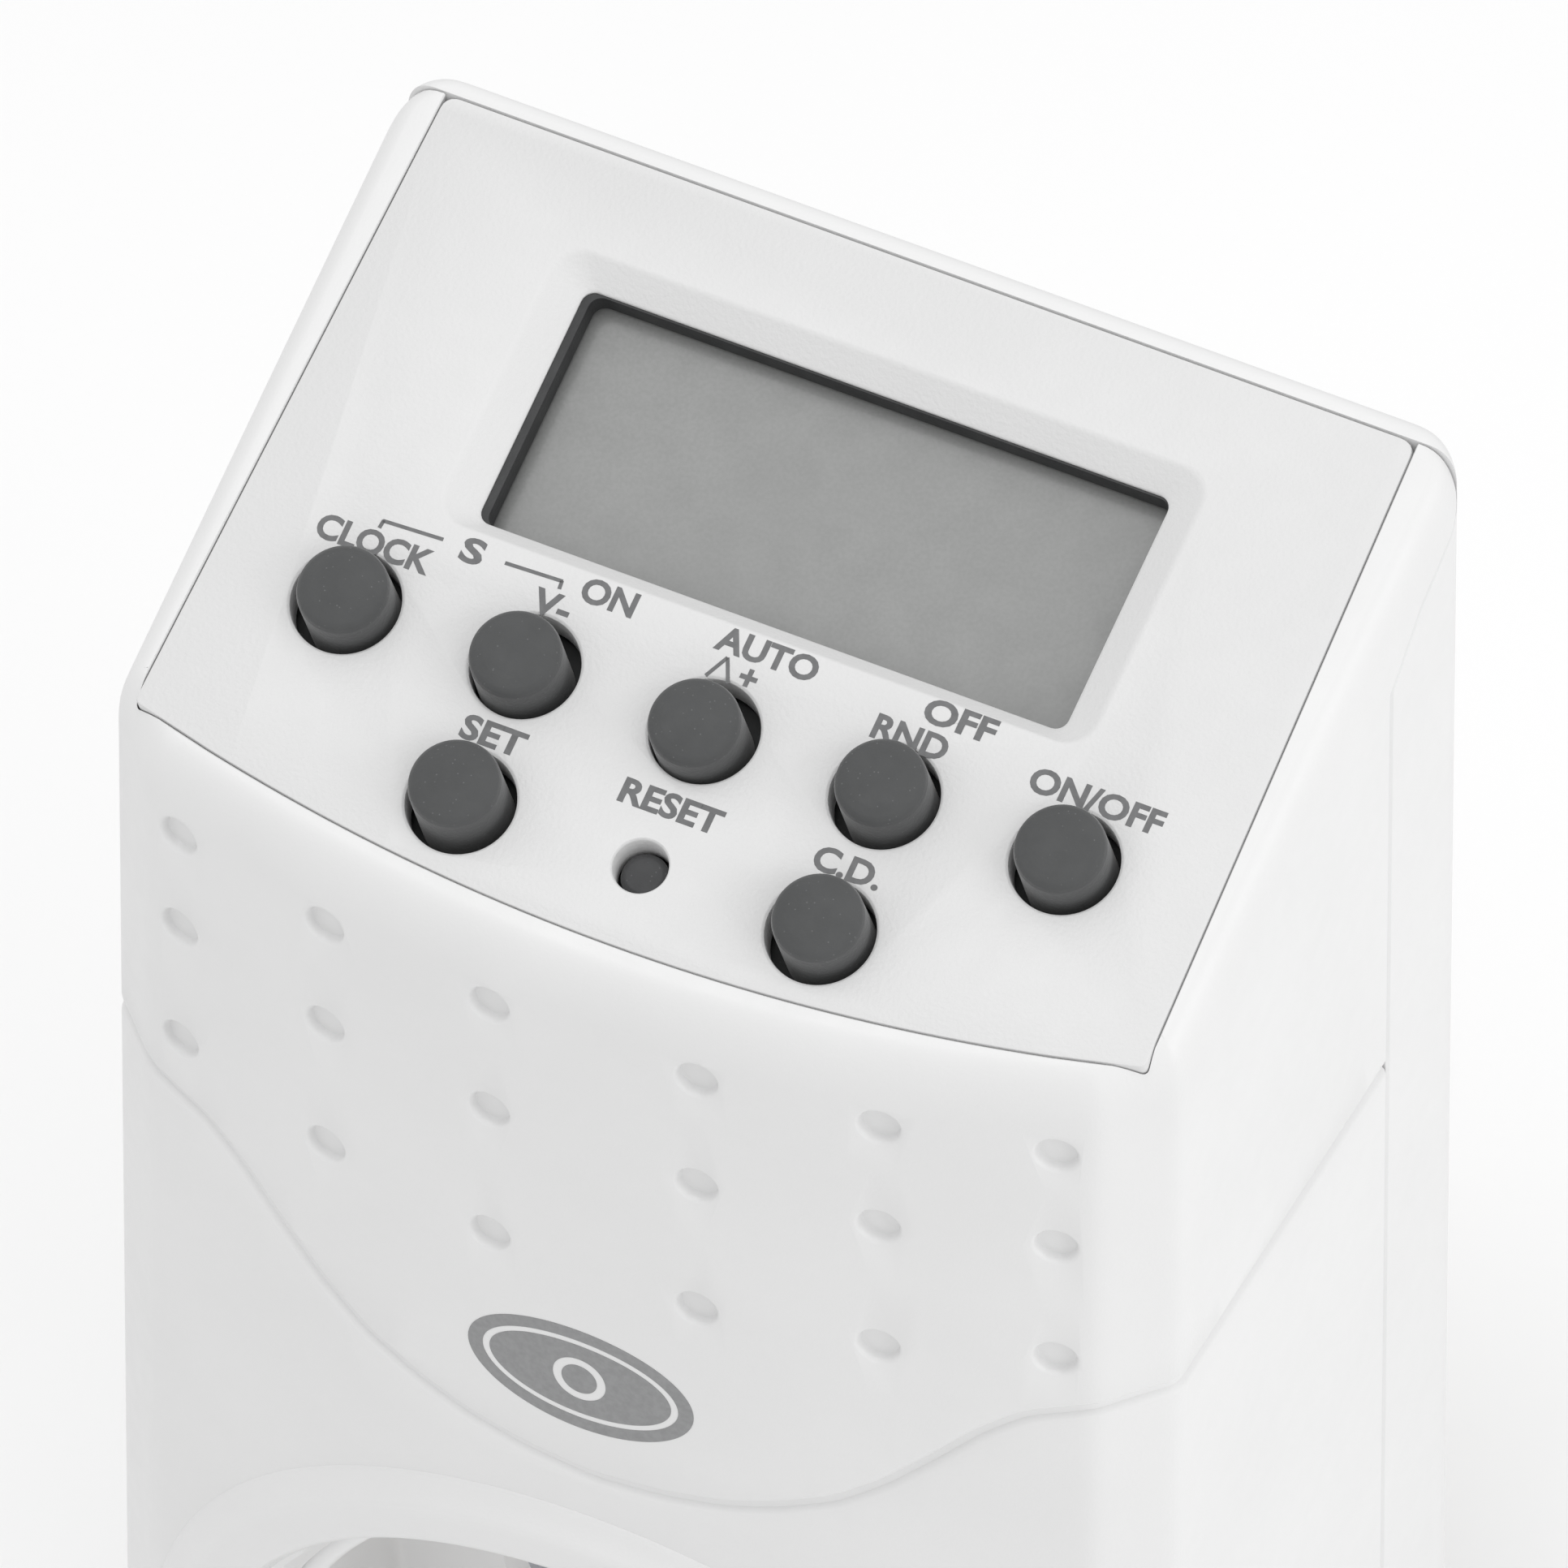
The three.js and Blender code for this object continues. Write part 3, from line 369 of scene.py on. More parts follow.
RECIPES = {
    "housing_plastic": (plastic, (0.765, 0.765, 0.765), 0.42, 0.000016),
    "panel_plastic": (plastic, (0.702, 0.702, 0.702), 0.55, 0.00005, 0.02, 4200),
    "well_plastic": (plastic, (0.82, 0.82, 0.82), 0.36, 0.000008),
    "dark_plastic": (plastic, (0.022, 0.023, 0.024), 0.45),
    "blue_plastic": (plastic, (0.02, 0.1, 0.36), 0.35, 0.00001, 0.06),
    "black_resin": (plastic, (0.012, 0.012, 0.014), 0.5, 0.00003, 0.1),
    "yellow_plastic": (plastic, (0.66, 0.42, 0.04), 0.35, 0.00001, 0.05),
    "brown_insulation": (plastic, (0.12, 0.04, 0.015), 0.4, 0.00001, 0.08),
    "blue_insulation": (plastic, (0.015, 0.07, 0.32), 0.4, 0.00001, 0.08),
    "black_insulation": (plastic, (0.015, 0.015, 0.015), 0.4, 0.00001, 0.08),
    "grey_insulation": (plastic, (0.32, 0.33, 0.35), 0.5, 0.00001, 0.08),
    "resistor_ceramic": (plastic, (0.2, 0.25, 0.21), 0.6, 0.00004, 0.12),
    "blue_ceramic": (plastic, (0.03, 0.13, 0.35), 0.3, 0.00002, 0.08),
    "key_rubber": (rubber, (0.078, 0.08, 0.081)),
    "dark_rubber": (rubber, (0.075, 0.076, 0.078)),
    "conductive_rubber": (rubber, (0.3, 0.3, 0.29)),
    "green_board": (board, (0.014, 0.11, 0.04), (0.05, 0.24, 0.08)),
    "tan_board": (board, (0.42, 0.28, 0.1), (0.3, 0.17, 0.05)),
    "nickel": (metal, (0.66, 0.64, 0.59), 0.24, (1, 14, 1), 0.12),
    "steel": (metal, (0.52, 0.53, 0.55), 0.34),
    "bronze": (metal, (0.6, 0.33, 0.16), 0.3),
    "brass": (metal, (0.68, 0.5, 0.2), 0.28, (1, 14, 1)),
    "copper_winding": (metal, (0.56, 0.2, 0.07), 0.35, (1, 60, 1), 0.3),
}
MATERIALS = {slot: maker(slot, *values) for slot, (maker, *values) in RECIPES.items()}


def display_material():
    """A switched-off liquid crystal cell: even grey, very slightly mottled, under a thin gloss."""
    made = Nodes("display", (0.236, 0.24, 0.236), 0.4)
    made.mottle(60, 0.03)
    made.mottle(4600, 0.09)
    made.rough(500, 0.05)
    made.bump(made.noise(3800, 2), 0.000006, 0.4)
    made.set(Coat_Weight=0.25, Coat_Roughness=0.15)
    return made.material


MATERIALS["display"] = display_material()


def ink(name, colour):
    """Screen-printed ink, slightly uneven."""
    made = Nodes(name, colour, 0.55)
    made.mottle(3000, 0.1)
    made.rough(1500, 0.08)
    made.bump(made.noise(6000, 2), 0.000008, 0.5)
    return made.material


LEGEND_INK = ink("legend_ink", (0.145, 0.147, 0.15))
BADGE_INK = ink("badge_ink", (0.275, 0.277, 0.28))


# ---- Outline of the body, seen from above ----

def corner_line(inset):
    """The body's outline with plain corners, from the right side round the back to the front."""
    side, radius = HALF_WIDTH - inset, FRONT_RADIUS - inset
    shift = 0.42 * inset
    edge = math.asin((FRONT_EDGE_X - shift) / radius)
    corner, back = max(REAR_CORNER - inset, 0.8), BACK_Y - inset
    points = [(side, CHAMFER_BACK_Y + shift)]
    for sx, start in ((1, 0), (-1, 90)):
        for step in range(13):
            t = math.radians(start + 90 * step / 12)
            points.append((sx * (side - corner) + corner * math.cos(t),
                           back - corner + corner * math.sin(t)))
    points.append((-side, CHAMFER_BACK_Y + shift))
    for step in range(61):
        t = -math.pi / 2 - edge + 2 * edge * step / 60
        points.append((radius * math.cos(t), FRONT_Y + FRONT_RADIUS + radius * math.sin(t)))
    return np.array(points)


def evenly(points, spacing):
    """Points along a closed line; spacing is a function of (x, y)."""
    closed = np.vstack([points, points[:1]])
    lengths = np.linalg.norm(np.diff(closed, axis=0), axis=1)
    middles = (closed[1:] + closed[:-1]) / 2
    weight = np.array([1 / spacing(x, y) for x, y in middles])
    travelled = np.concatenate([[0], np.cumsum(lengths * weight)])
    count = int(round(travelled[-1]))
    wanted = np.arange(count) * travelled[-1] / count
    return np.column_stack([np.interp(wanted, travelled, closed[:, k]) for k in (0, 1)])


def soft_line(inset=0.0, blur=0.45):
    """The outline with its corners rounded off by a running average."""
    fine = evenly(corner_line(inset), lambda x, y: 0.1)
    reach = np.arange(-20, 21) * 0.1
    kernel = np.exp(-(reach / blur) ** 2 / 2)
    kernel /= kernel.sum()
    padded = np.vstack([fine[-20:], fine, fine[:20]])
    smooth = np.column_stack([np.convolve(padded[:, k], kernel, "valid") for k in (0, 1)])

    def spacing(x, y):
        near_corner = abs(x) > 24.5 and (y < -50 or y > BACK_Y - 5)
        return 0.3 if near_corner else 1.3
    return evenly(smooth, spacing)


def outward(line):
    """The outward unit normal at each point of a closed line."""
    along = np.roll(line, -1, axis=0) - np.roll(line, 1, axis=0)
    along /= np.linalg.norm(along, axis=1)[:, None]
    return np.column_stack([along[:, 1], -along[:, 0]])


def under_panel(y, depth):
    """The height of the plane that lies a given depth below the panel's face."""
    return PANEL_Z + (y - PANEL_Y) * math.tan(SLOPE) - depth / math.cos(SLOPE)


OUTLINE = soft_line()
NORMALS = outward(OUTLINE)


def back_share(y):
    """0 over the front and sides, growing smoothly to 1 at the back wall."""
    t = np.clip((y - (BACK_Y - 5)) / 4, 0, 1)
    return t * t * (3 - 2 * t)


def body_block(name, squarer_back=False):
    """The whole body as one solid: rounded foot, straight walls, rounded edge to the sloped top."""
    share = back_share(OUTLINE[:, 1]) * squarer_back
    loops = []
    for step in range(5):
        t = step / 4 * math.pi / 2
        inset = FOOT_RADIUS * (1 - math.sin(t))
        line = OUTLINE - NORMALS * inset
        loops.append([(x, y, BASE_Z + FOOT_RADIUS * (1 - math.cos(t))) for x, y in line])
    wide, deep = [front + (rear - front) * share for front, rear in zip(SHOULDER, REAR_SHOULDER)]
    shoulder = []
    for step in range(11):
        t = step / 10 * math.pi / 2
        inset = wide * (1 - math.cos(t))
        depth = deep * (1 - math.sin(t))
        line = OUTLINE - NORMALS * inset[:, None]
        shoulder.append([(x, y, under_panel(y, d)) for (x, y), d in zip(line, depth)])
    foot = loops[-1]
    rows = 22
    for row in range(1, rows):
        t = row / rows
        loops.append([(a[0], a[1], a[2] + (b[2] - a[2]) * t) for a, b in zip(foot, shoulder[0])])
    return loft(name, loops + shoulder)


def cavity(name):
    """The room inside the walls, up to just below the panel."""
    line = evenly(corner_line(WALL), lambda x, y: 1.5)
    low = [(x, y, BASE_Z + WALL) for x, y in line]
    high = [(x, y, under_panel(y, PANEL_THICK + 1.8)) for x, y in line]
    return loft(name, [low, high])


# The joint between the housings above the panel's middle, seen from the side as (y, z).
SEAM = [(SEAM_Y, PANEL_Z + 0.5), (-24, PANEL_Z + 3.6), (-20.2, PANEL_Z + 5.7), (RIM_Y, PANEL_Z + 7.2),
        (RIM_Y, 120)]


def seam_prism(name, shift, far_y):
    """Everything on one side of the joint between the housings."""
    edge = [(y + shift, z) for y, z in [(SEAM_Y, -60)] + SEAM]
    return prism_x(name, edge + [(far_y, 120), (far_y, -60)], -40, 40)


FRONT_LINE = np.array(sorted((x, y) for (x, y), normal in zip(OUTLINE, NORMALS) if normal[1] < -0.3))


def front_at(x):
    """The front surface's y at a place across it."""
    return float(np.interp(x, FRONT_LINE[:, 0], FRONT_LINE[:, 1]))


# ---- Front housing ----

def panel_outline(inset=0.0, top=PANEL_TOP, top_radius=0.1):
    """The panel's outline on its face: straight top and sides, and a lower edge that is one wide arc."""
    low, low_half = PANEL_LOW + inset, PANEL_LOW_HALF - inset
    top_half = PANEL_TOP_HALF + (PANEL_TOP - top) * PANEL_TAPER - inset
    radius = (low_half ** 2 + PANEL_SAG ** 2) / (2 * PANEL_SAG)
    reach = math.asin(low_half / radius)
    arc = [-math.pi / 2 - reach + 2 * reach * step / 48 for step in range(49)]
    curve = [(radius * math.cos(t), low - PANEL_SAG + radius + radius * math.sin(t)) for t in arc]
    corner_end = 4              # the arc's point where its rounded corner ends
    left = soften([(0, top), (-top_half, top), curve[0]], top_radius, 5)[1:-1]
    left += soften([(-top_half, top), curve[0], curve[corner_end]], 0.45, 5)[1:-1]
    right = [(-x, y) for x, y in reversed(left)]
    return left + curve[corner_end:-corner_end] + right


def panel_prism(name, inset, levels, **outline):
    """A slab with the panel's outline; levels are (height, extra inset)."""
    loops = [[(x, y, z) for x, y in panel_outline(inset + extra, **outline)] for z, extra in levels]
    return loft(name, loops, PANEL)


# The ring's section as (radius, distance behind the front surface), and the flare inside it as (radius, y).
RING_SECTION = [(27.9, 0.6), (27.2, 0.14), (27.06, 0.03), (26.95, -0.12), (26.7, -0.23), (26.3, -0.41),
                (25.95, -0.62), (25.65, -0.86), (25.45, -1.02), (25.2, -1.09), (24.8, -1.11),
                (24.0, -1.1), (23.45, -1.04), (23.1, -0.92), (22.9, -0.7), (22.78, -0.4), (22.6, 0.2)]
FLARE_SECTION = [(22.3, -56.9), (22.0, -56.0), (21.65, -55.2), (21.3, -54.5), (20.95, -54.0),
                 (20.95, -53.8), (24.4, -53.8)]


def socket_ring():
    """The soft ring round the socket's mouth, following the curved front, with the flare inside it."""
    segments = 180
    turns = [(math.cos(2 * math.pi * i / segments), math.sin(2 * math.pi * i / segments))
             for i in range(segments)]
    outer, flare = RING_SECTION[0][0], FLARE_SECTION[0][0]
    loops = []
    for r, back in RING_SECTION:
        loops.append([(r * c, front_at(r * c) + back, r * s) for c, s in turns])
    for step, (r, y) in enumerate(FLARE_SECTION):
        loops.append([(r * c, max(y, front_at(flare * c) + 0.55 + 0.1 * step), r * s) for c, s in turns])
    loops.append([(outer * c, front_at(outer * c) + 1.3, outer * s) for c, s in turns])
    return loft("socket_ring", loops, ring=True)


# The styling groove's height from the panel's middle, against the way along the outline from its middle.
WAVE = [(0, -42.9), (4, -42.5), (7.3, -41.8), (10, -40.8), (13.3, -39.1), (16, -36.8), (18.8, -33.8),
        (21, -31.3), (23.3, -29.4), (26.7, -28.1), (30, -27.7), (90, -27.7)]
WAVE_SECTION = [(-0.82, 0.3), (-0.66, 0.02), (-0.4, -0.09), (-0.2, -0.3), (0.2, -0.3), (0.4, -0.09),
                (0.66, 0.02), (0.82, 0.3)]


def wave_path():
    """The styling groove: a wide dip over the socket, then level along both sides to the seam."""
    spacing, reach, blur_reach = 0.25, 240, 14
    dense = evenly(OUTLINE, lambda x, y: spacing)
    middle = int(np.argmin(np.hypot(dense[:, 0], dense[:, 1] - FRONT_Y)))
    normal = outward(dense)
    grid = np.linspace(0, WAVE[-1][0], 900)
    level = np.interp(grid, *np.array(WAVE).T)
    blur = np.exp(-(np.arange(-blur_reach, blur_reach + 1) / 7.0) ** 2)
    blur /= blur.sum()
    padded = np.concatenate([level[blur_reach:0:-1], level, [level[-1]] * blur_reach])
    level = np.convolve(padded, blur, "valid")
    path = []
    for step in range(-reach, reach + 1):
        index = (middle + step) % len(dense)
        x, y = dense[index]
        if y < SEAM_Y + 1:
            height = PANEL_Z + np.interp(abs(step) * spacing, grid, level)
            path.append((np.array([x, y, height]), np.array([*normal[index], 0.0])))
    return path


def swept(name, path, section):
    """Sweeps a section of (sideways, outward) along points that each have an outward normal."""
    places = np.array([p for p, n in path])
    along = np.gradient(places, axis=0)
    loops = []
    for (place, normal), tangent in zip(path, along):
        tangent = tangent / np.linalg.norm(tangent)
        side = np.cross(normal, tangent)
        side /= np.linalg.norm(side)
        loops.append([place + side * a + normal * b for a, b in section])
    return loft(name, loops)


def dimple(x, z):
    """The tool for a small flat-floored dimple with a rounded lip in the front surface."""
    slope = front_at(x + 0.5) - front_at(x - 0.5)
    facing = Matrix.Translation((x, front_at(x), z)) @ Matrix.Rotation(math.atan(slope), 4, "Z")
    section = [(0.02, -0.58), (0.88, -0.58), (1.0, -0.54), (1.06, -0.44), (1.1, -0.28), (1.15, -0.14),
               (1.23, -0.05), (1.34, 0.0), (1.48, 0.07), (1.5, 0.6)]
    return lathe("dimple", section, facing @ Matrix.Rotation(math.pi / 2, 4, "X"), 40)


def seam_groove(side):
    """The tool for the shallow groove along the joint between the housings on one side."""
    line = soften([(SEAM_Y, -36), *SEAM[:-1], (RIM_Y, 84)], 0.4)
    lengths = np.concatenate([[0], np.cumsum(np.linalg.norm(np.diff(line, axis=0), axis=1))])
    travel = np.arange(0, lengths[-1], 0.3)
    places = [np.interp(travel, lengths, np.array(line)[:, k]) for k in (0, 1)]
    path = [(np.array([side * HALF_WIDTH, y, z]), np.array([side, 0.0, 0.0])) for y, z in zip(*places)]
    return swept("seam_groove", path, [(-0.28, 0.1), (-0.22, 0), (0, -0.2), (0.22, 0), (0.28, 0.1)])


# The dimples right of the middle, as (x, height from the panel's middle); the left side mirrors them.
DIMPLES = [(5.84, -9.93), (15.6, -9.69), (24.7, -9.13), (5.84, -17.89), (15.6, -17.21), (24.7, -16.04),
           (5.84, -27.3), (15.6, -26.32), (24.7, -24.56)]


def posts(name, radius, y0, y1):
    """The four screw posts, kept inside the walls."""
    inside = evenly(corner_line(WALL / 2), lambda x, y: 1.5)
    for index, (x, z) in enumerate(SCREWS):
        rod = lathe(f"{name}_{index}", [(radius, y0), (radius, y1)], along_y(x, z), 32)
        keep = loft(f"{name}_keep", [[(a, b, h) for a, b in inside] for h in (BASE_Z + 1, 60)])
        yield combine(rod, "INTERSECT", keep)


def front_shell():
    """The front housing, with its ring, dimples and grooves, and the room for the panel."""
    shell = body_block("front_shell")
    cut(shell, seam_prism("behind_seam", -SEAM_GAP, 20), cavity("front_cavity"))
    join(shell, *posts("front_post", 3.6, -55, SEAM_Y - 1))
    cut(shell, lathe("mouth_hole", [(MOUTH_R, -70), (MOUTH_R, -50)], along_y(), 180))
    join(shell, socket_ring())
    cut(shell, swept("wave", wave_path(), WAVE_SECTION))
    for x, z in DIMPLES:
        cut(shell, dimple(x, PANEL_Z + z), dimple(-x, PANEL_Z + z))
    cut(shell, seam_groove(-1), seam_groove(1))
    room = [(-PANEL_THICK - 0.3, 0), (-0.1, 0), (0.0, -0.07), (10, -0.1)]
    cut(shell, panel_prism("panel_room", -0.15, room))
    cut(shell, panel_prism("panel_through", 1.2, [(-12, 0), (1, 0)]))
    for x, z in SCREWS:
        cut(shell, lathe("screw_hole", [(1.7, -44), (1.7, SEAM_Y)], along_y(x, z), 24))
    return finish(shell, MATERIALS["housing_plastic"], slot="housing_plastic", replaces=["front_housing"])


# ---- Rear housing ----

def rear_shell():
    """The rear housing, with the rim above the panel and the round plug body."""
    shell = body_block("rear_shell", squarer_back=True)
    cut(shell, seam_prism("before_seam", SEAM_GAP, -90), cavity("rear_cavity"))
    cut(shell, seam_groove(-1), seam_groove(1))
    tube = [(PLUG_R - 1, -19.5), (PLUG_R, -0.9), (PLUG_R - 0.06, -0.55), (PLUG_R - 0.26, -0.26),
            (PLUG_R - 0.55, -0.06), (PLUG_R - 0.9, 0), (10, 0)]
    root = [(PLUG_R + 0.6, -18.2), (PLUG_R + 0.6, BACK_Y + 0.05), (PLUG_R + 0.25, BACK_Y + 0.2),
            (PLUG_R, BACK_Y + 0.6), (PLUG_R - 0.4, BACK_Y + 0.7)]
    join(shell, lathe("plug_tube", tube, along_y(), 160), lathe("plug_root", root, along_y(), 160))
    join(shell, *posts("rear_post", 4, SEAM_Y + 1, BACK_Y - 0.5))
    bore = [(14.1, -20.5), (14.1, -0.4), (14.35, -0.1), (14.8, 0.2), (14.8, 1)]
    cut(shell, lathe("plug_bore", bore, along_y(), 120))
    for low, high in ((PLUG_FLAT, PLUG_R + 1.1), (-PLUG_R - 1.1, -PLUG_FLAT)):
        cut(shell, box("earth_groove", (-3.5, 3.5), (-20.5, 1), (low, high)))
    for x, z in SCREWS:
        hole = [(1.7, SEAM_Y - 1), (1.7, BACK_Y - 5), (2.9, BACK_Y - 5), (2.9, BACK_Y - 0.3),
                (3.05, BACK_Y - 0.08), (3.3, BACK_Y + 0.1), (3.3, BACK_Y + 1)]
        cut(shell, lathe("screw_well", hole, along_y(x, z), 48))
    cut(shell, box("under_panel", (-25.8, 25.8), (SEAM_Y - 2, BACK_Y - WALL), (PANEL_Z - 3, PANEL_Z + 9)))
    return finish(shell, MATERIALS["housing_plastic"], slot="housing_plastic", replaces=["rear_housing"])


# ---- Control panel ----

FIRST_ROW = ["clock", "minus", "plus", "random", "on_off"]
KEYS = {name: (KEY_X + (i - 2) * KEY_PITCH, 0.0) for i, name in enumerate(FIRST_ROW)}
KEYS["set"] = (KEY_X - KEY_PITCH, KEY_ROW)
KEYS["countdown"] = (KEY_X + KEY_PITCH, KEY_ROW)


def window_tool():
    """The opening with a sloped frame: widest at its sides, narrowest below."""
    side, low, high = 1.9, 1.0, 1.6
    levels = [(-4, 0), (-1.2, 0), (-1.12, 0.03), (-1.05, 0.1), (-0.13, 0.86), (-0.05, 0.94), (-0.01, 1.02),
              (0.03, 1.2), (0.5, 2.6)]
    loops = []
    for z, share in levels:
        loop = rounded_rectangle(WINDOW_X, WINDOW_Y + (high - low) / 2 * share, WINDOW_W + 2 * side * share,
                                 WINDOW_H + (low + high) * share, 0.7 + share)
        loops.append([(x, y, z) for x, y in loop])
    return loft("window_tool", loops, PANEL)


def panel_plate():
    """The panel with its window, key holes and reset hole, their edges eased."""
    top = [(-PANEL_THICK, 0), (-0.14, 0), (-0.04, 0.03), (0, 0.1)]
    upper_edge = (RIM_Y - 0.1 - PANEL_Y) / math.cos(SLOPE)
    plate = panel_prism("panel_plate", -0.08, top, top=upper_edge, top_radius=0.8)
    cut(plate, box("rim_room", (-40, 40), (RIM_Y - 0.1, 20), (0, 140)))
    cut(plate, window_tool())
    pocket = rounded_rectangle(WINDOW_X, WINDOW_Y, WINDOW_W + 3, WINDOW_H + 3, 1)
    cut(plate, loft("pocket", [[(x, y, z) for x, y in pocket] for z in (-5, -1.35)], PANEL))
    for x, y in KEYS.values():
        hole = [(KEY_HOLE_R, -5), (KEY_HOLE_R, -0.22), (2.9, -0.1), (3, -0.02), (3.2, 0.05), (3.5, 0.3)]
        cut(plate, lathe("key_hole", hole, on_panel(x, y), 72))
    reset = [(RESET_HOLE_R, -5), (RESET_HOLE_R, -0.16), (1.49, -0.06), (1.58, 0.02), (1.8, 0.2)]
    cut(plate, lathe("reset_hole", reset, on_panel(KEY_X, KEY_ROW), 48))
    return finish(plate, MATERIALS["panel_plastic"], slot="panel_plastic", replaces=["control_panel"])


# How each key leans, in degrees, and lies off the middle of its hole, in millimetres.
REST = {"clock": (0.6, -0.5, 0.1, 0.12), "minus": (-0.9, 0.4, -0.3, -0.14), "plus": (0.8, 0.8, -0.3, -0.16),
        "random": (-0.4, -0.9, 0.05, 0.12), "on_off": (0.5, 0.6, -0.1, 0.15),
        "set": (-0.7, -0.6, -0.2, 0.24), "countdown": (0.9, -0.3, 0.05, 0.26)}


def rubber_key(name, x, y):
    """A key with a gently domed head, a soft edge, a collar under the panel and a contact stem."""
    head = soften([(2.44, -3.1), (2.41, 1.3), (2.32, 1.62), (2.1, 1.82), (1.6, 2.0), (0.9, 2.1),
                   (0.03, 2.13)], 0.4)
    foot = [(0.03, -5.4), (1.6, -5.4), (1.6, -4.1), (3.35, -4.1), (3.35, -3.2), (3.25, -3.1)]
    tilt_x, tilt_y, shift_x, shift_y = REST[name]
    lean = Matrix.Rotation(math.radians(tilt_x), 4, "X") @ Matrix.Rotation(math.radians(tilt_y), 4, "Y")
    collar = Matrix.Translation((0, 0, -3.6))       # the key leans about its collar
    place = on_panel(x + shift_x, y + shift_y) @ collar @ lean @ collar.inverted()
    key = lathe(f"{name}_key", foot + head, place, 72)
    node = f"{name}_button"
    return finish(key, MATERIALS["key_rubber"], node, "key_rubber", [node])


def reset_pin():
    """The reset button, sunk below its hole."""
    profile = [(0.03, -5.6), (1.1, -5.6), (1.1, -4.3), (2.2, -4.3), (2.2, -3.3)]
    profile += soften([(1.25, -3.3), (1.25, -1.45), (0.95, -1.2), (0.03, -1.16)], 0.2)
    pin = lathe("reset_pin", profile, on_panel(KEY_X, KEY_ROW), 48)
    return finish(pin, MATERIALS["dark_rubber"], "reset_button", "dark_rubber", ["reset_button"])


def display_cell():
    """The cell's two glasses: the front one with a polariser sheet set in from its edge."""
    glass = rounded_rectangle(WINDOW_X, WINDOW_Y, GLASS_W, GLASS_H, 0.25)
    sheet = rounded_rectangle(WINDOW_X, WINDOW_Y, GLASS_W - 1, GLASS_H - 1, 0.3)
    cell = loft("display_cell", [[(x, y, z) for x, y in glass] for z in (-3.8, -3.06)], PANEL)
    join(cell, loft("polariser", [[(x, y, z) for x, y in sheet] for z in (-3.2, -2.9)], PANEL))
    return finish(cell, MATERIALS["display"], slot="display", replaces=["display_front_glass"])


# ---- Print on the panel and the badge ----

def printed_text(words, x, y, width, height=1.3):
    """Letters lying on the panel, centred on (x, y), with the given overall width."""
    curve = bpy.data.curves.new("words", "FONT")
    curve.body = words
    curve.extrude = 0.009
    curve.offset = 0.033
    curve.resolution_u = 4
    holder = bpy.data.objects.new("words", curve)
    bpy.context.scene.collection.objects.link(holder)
    bpy.context.view_layer.update()
    mesh = bpy.data.meshes.new_from_object(holder.evaluated_get(bpy.context.evaluated_depsgraph_get()))
    bpy.data.objects.remove(holder)
    spots = np.array([v.co for v in mesh.vertices])
    low, high = spots.min(0), spots.max(0)
    centre = (low + high) / 2
    tall = height / CAPITAL
    mesh.transform(on_panel(x, y) @ Matrix.Diagonal((width / (high[0] - low[0]), tall, 1, 1))
                   @ Matrix.Translation((-centre[0], -CAPITAL / 2, 0)))
    piece = bpy.data.objects.new("words", mesh)
    bpy.context.scene.collection.objects.link(piece)
    return piece


def bar(x0, y0, x1, y1, width=0.2):
    """A printed line on the panel."""
    start, end = np.array((x0, y0), float), np.array((x1, y1), float)
    along = (end - start) / np.linalg.norm(end - start)
    side = np.array((-along[1], along[0])) * width / 2
    loop = [start - side, end - side, end + side, start + side]
    return loft("bar", [[(x, y, z) for x, y in loop] for z in (-0.012, 0.012)], PANEL)


def merged(name, pieces):
    """Joins separate pieces into one object without a boolean."""
    points, faces = [], []
    for piece in pieces:
        start = len(points)
        points += [piece.matrix_world @ v.co for v in piece.data.vertices]
        faces += [tuple(start + i for i in face.vertices) for face in piece.data.polygons]
        bpy.data.objects.remove(piece)
    return mesh_object(name, points, faces)


CAPITAL = 0.7                   # height of a capital letter in the built-in font at size 1
# The words as (text, x, y, width), and the lines between them as (x0, y0, x1, y1), on the panel's face.
LEGENDS = [("CLOCK", -20.4, 3.4, 6.4), ("S", -15.5, 4.8, 1.25), ("V-", -10.5, 3.55, 2.1),
           ("ON", -7.9, 4.97, 3.0), ("+", 0.62, 3.42, 0.95), ("AUTO", 1.0, 5.0, 5.6),
           ("RND", 9.75, 3.4, 4.1), ("OFF", 11.75, 5.15, 3.95), ("ON/OFF", 20.1, 3.6, 7.4),
           ("SET", -10.3, -4.05, 3.5), ("RESET", -0.15, -4.35, 5.6), ("C.D.", 9.7, -4.2, 3.75)]
LINES = [(-20.55, 4.25, -20.5, 4.72), (-20.55, 4.68, -17.2, 4.83), (-13.7, 4.78, -10.5, 4.9),
         (-10.55, 4.92, -10.5, 4.45), (-1.5, 2.78, -0.85, 4.08), (-0.85, 4.08, -0.25, 2.78)]


def panel_print():
    """All the words and lines on the panel, as one printed layer."""
    words = [printed_text(*legend) for legend in LEGENDS]
    lines = [bar(*line) for line in LINES]
    return finish(merged("panel_print", words + lines), LEGEND_INK, slot="key_rubber")


def badge_patch(name, outer, inner):
    """A thin printed oval band that follows the curved front; inner is the size of its hole."""
    steps, rings = 96, 5
    angles = [2 * math.pi * i / steps for i in range(steps)]

    def oval(share, rise):
        a = inner[0] + (outer[0] - inner[0]) * share
        b = inner[1] + (outer[1] - inner[1]) * share
        places = [(BADGE_X + a * math.cos(t), BADGE_Z + b * math.sin(t)) for t in angles]
        return [(x, front_at(x) - rise, z) for x, z in places]
    upper = [oval(ring / rings, 0.02) for ring in range(rings + 1)]
    lower = [oval(ring / rings, -0.05) for ring in range(rings, -1, -1)]
    return loft(name, upper + lower, ring=True)


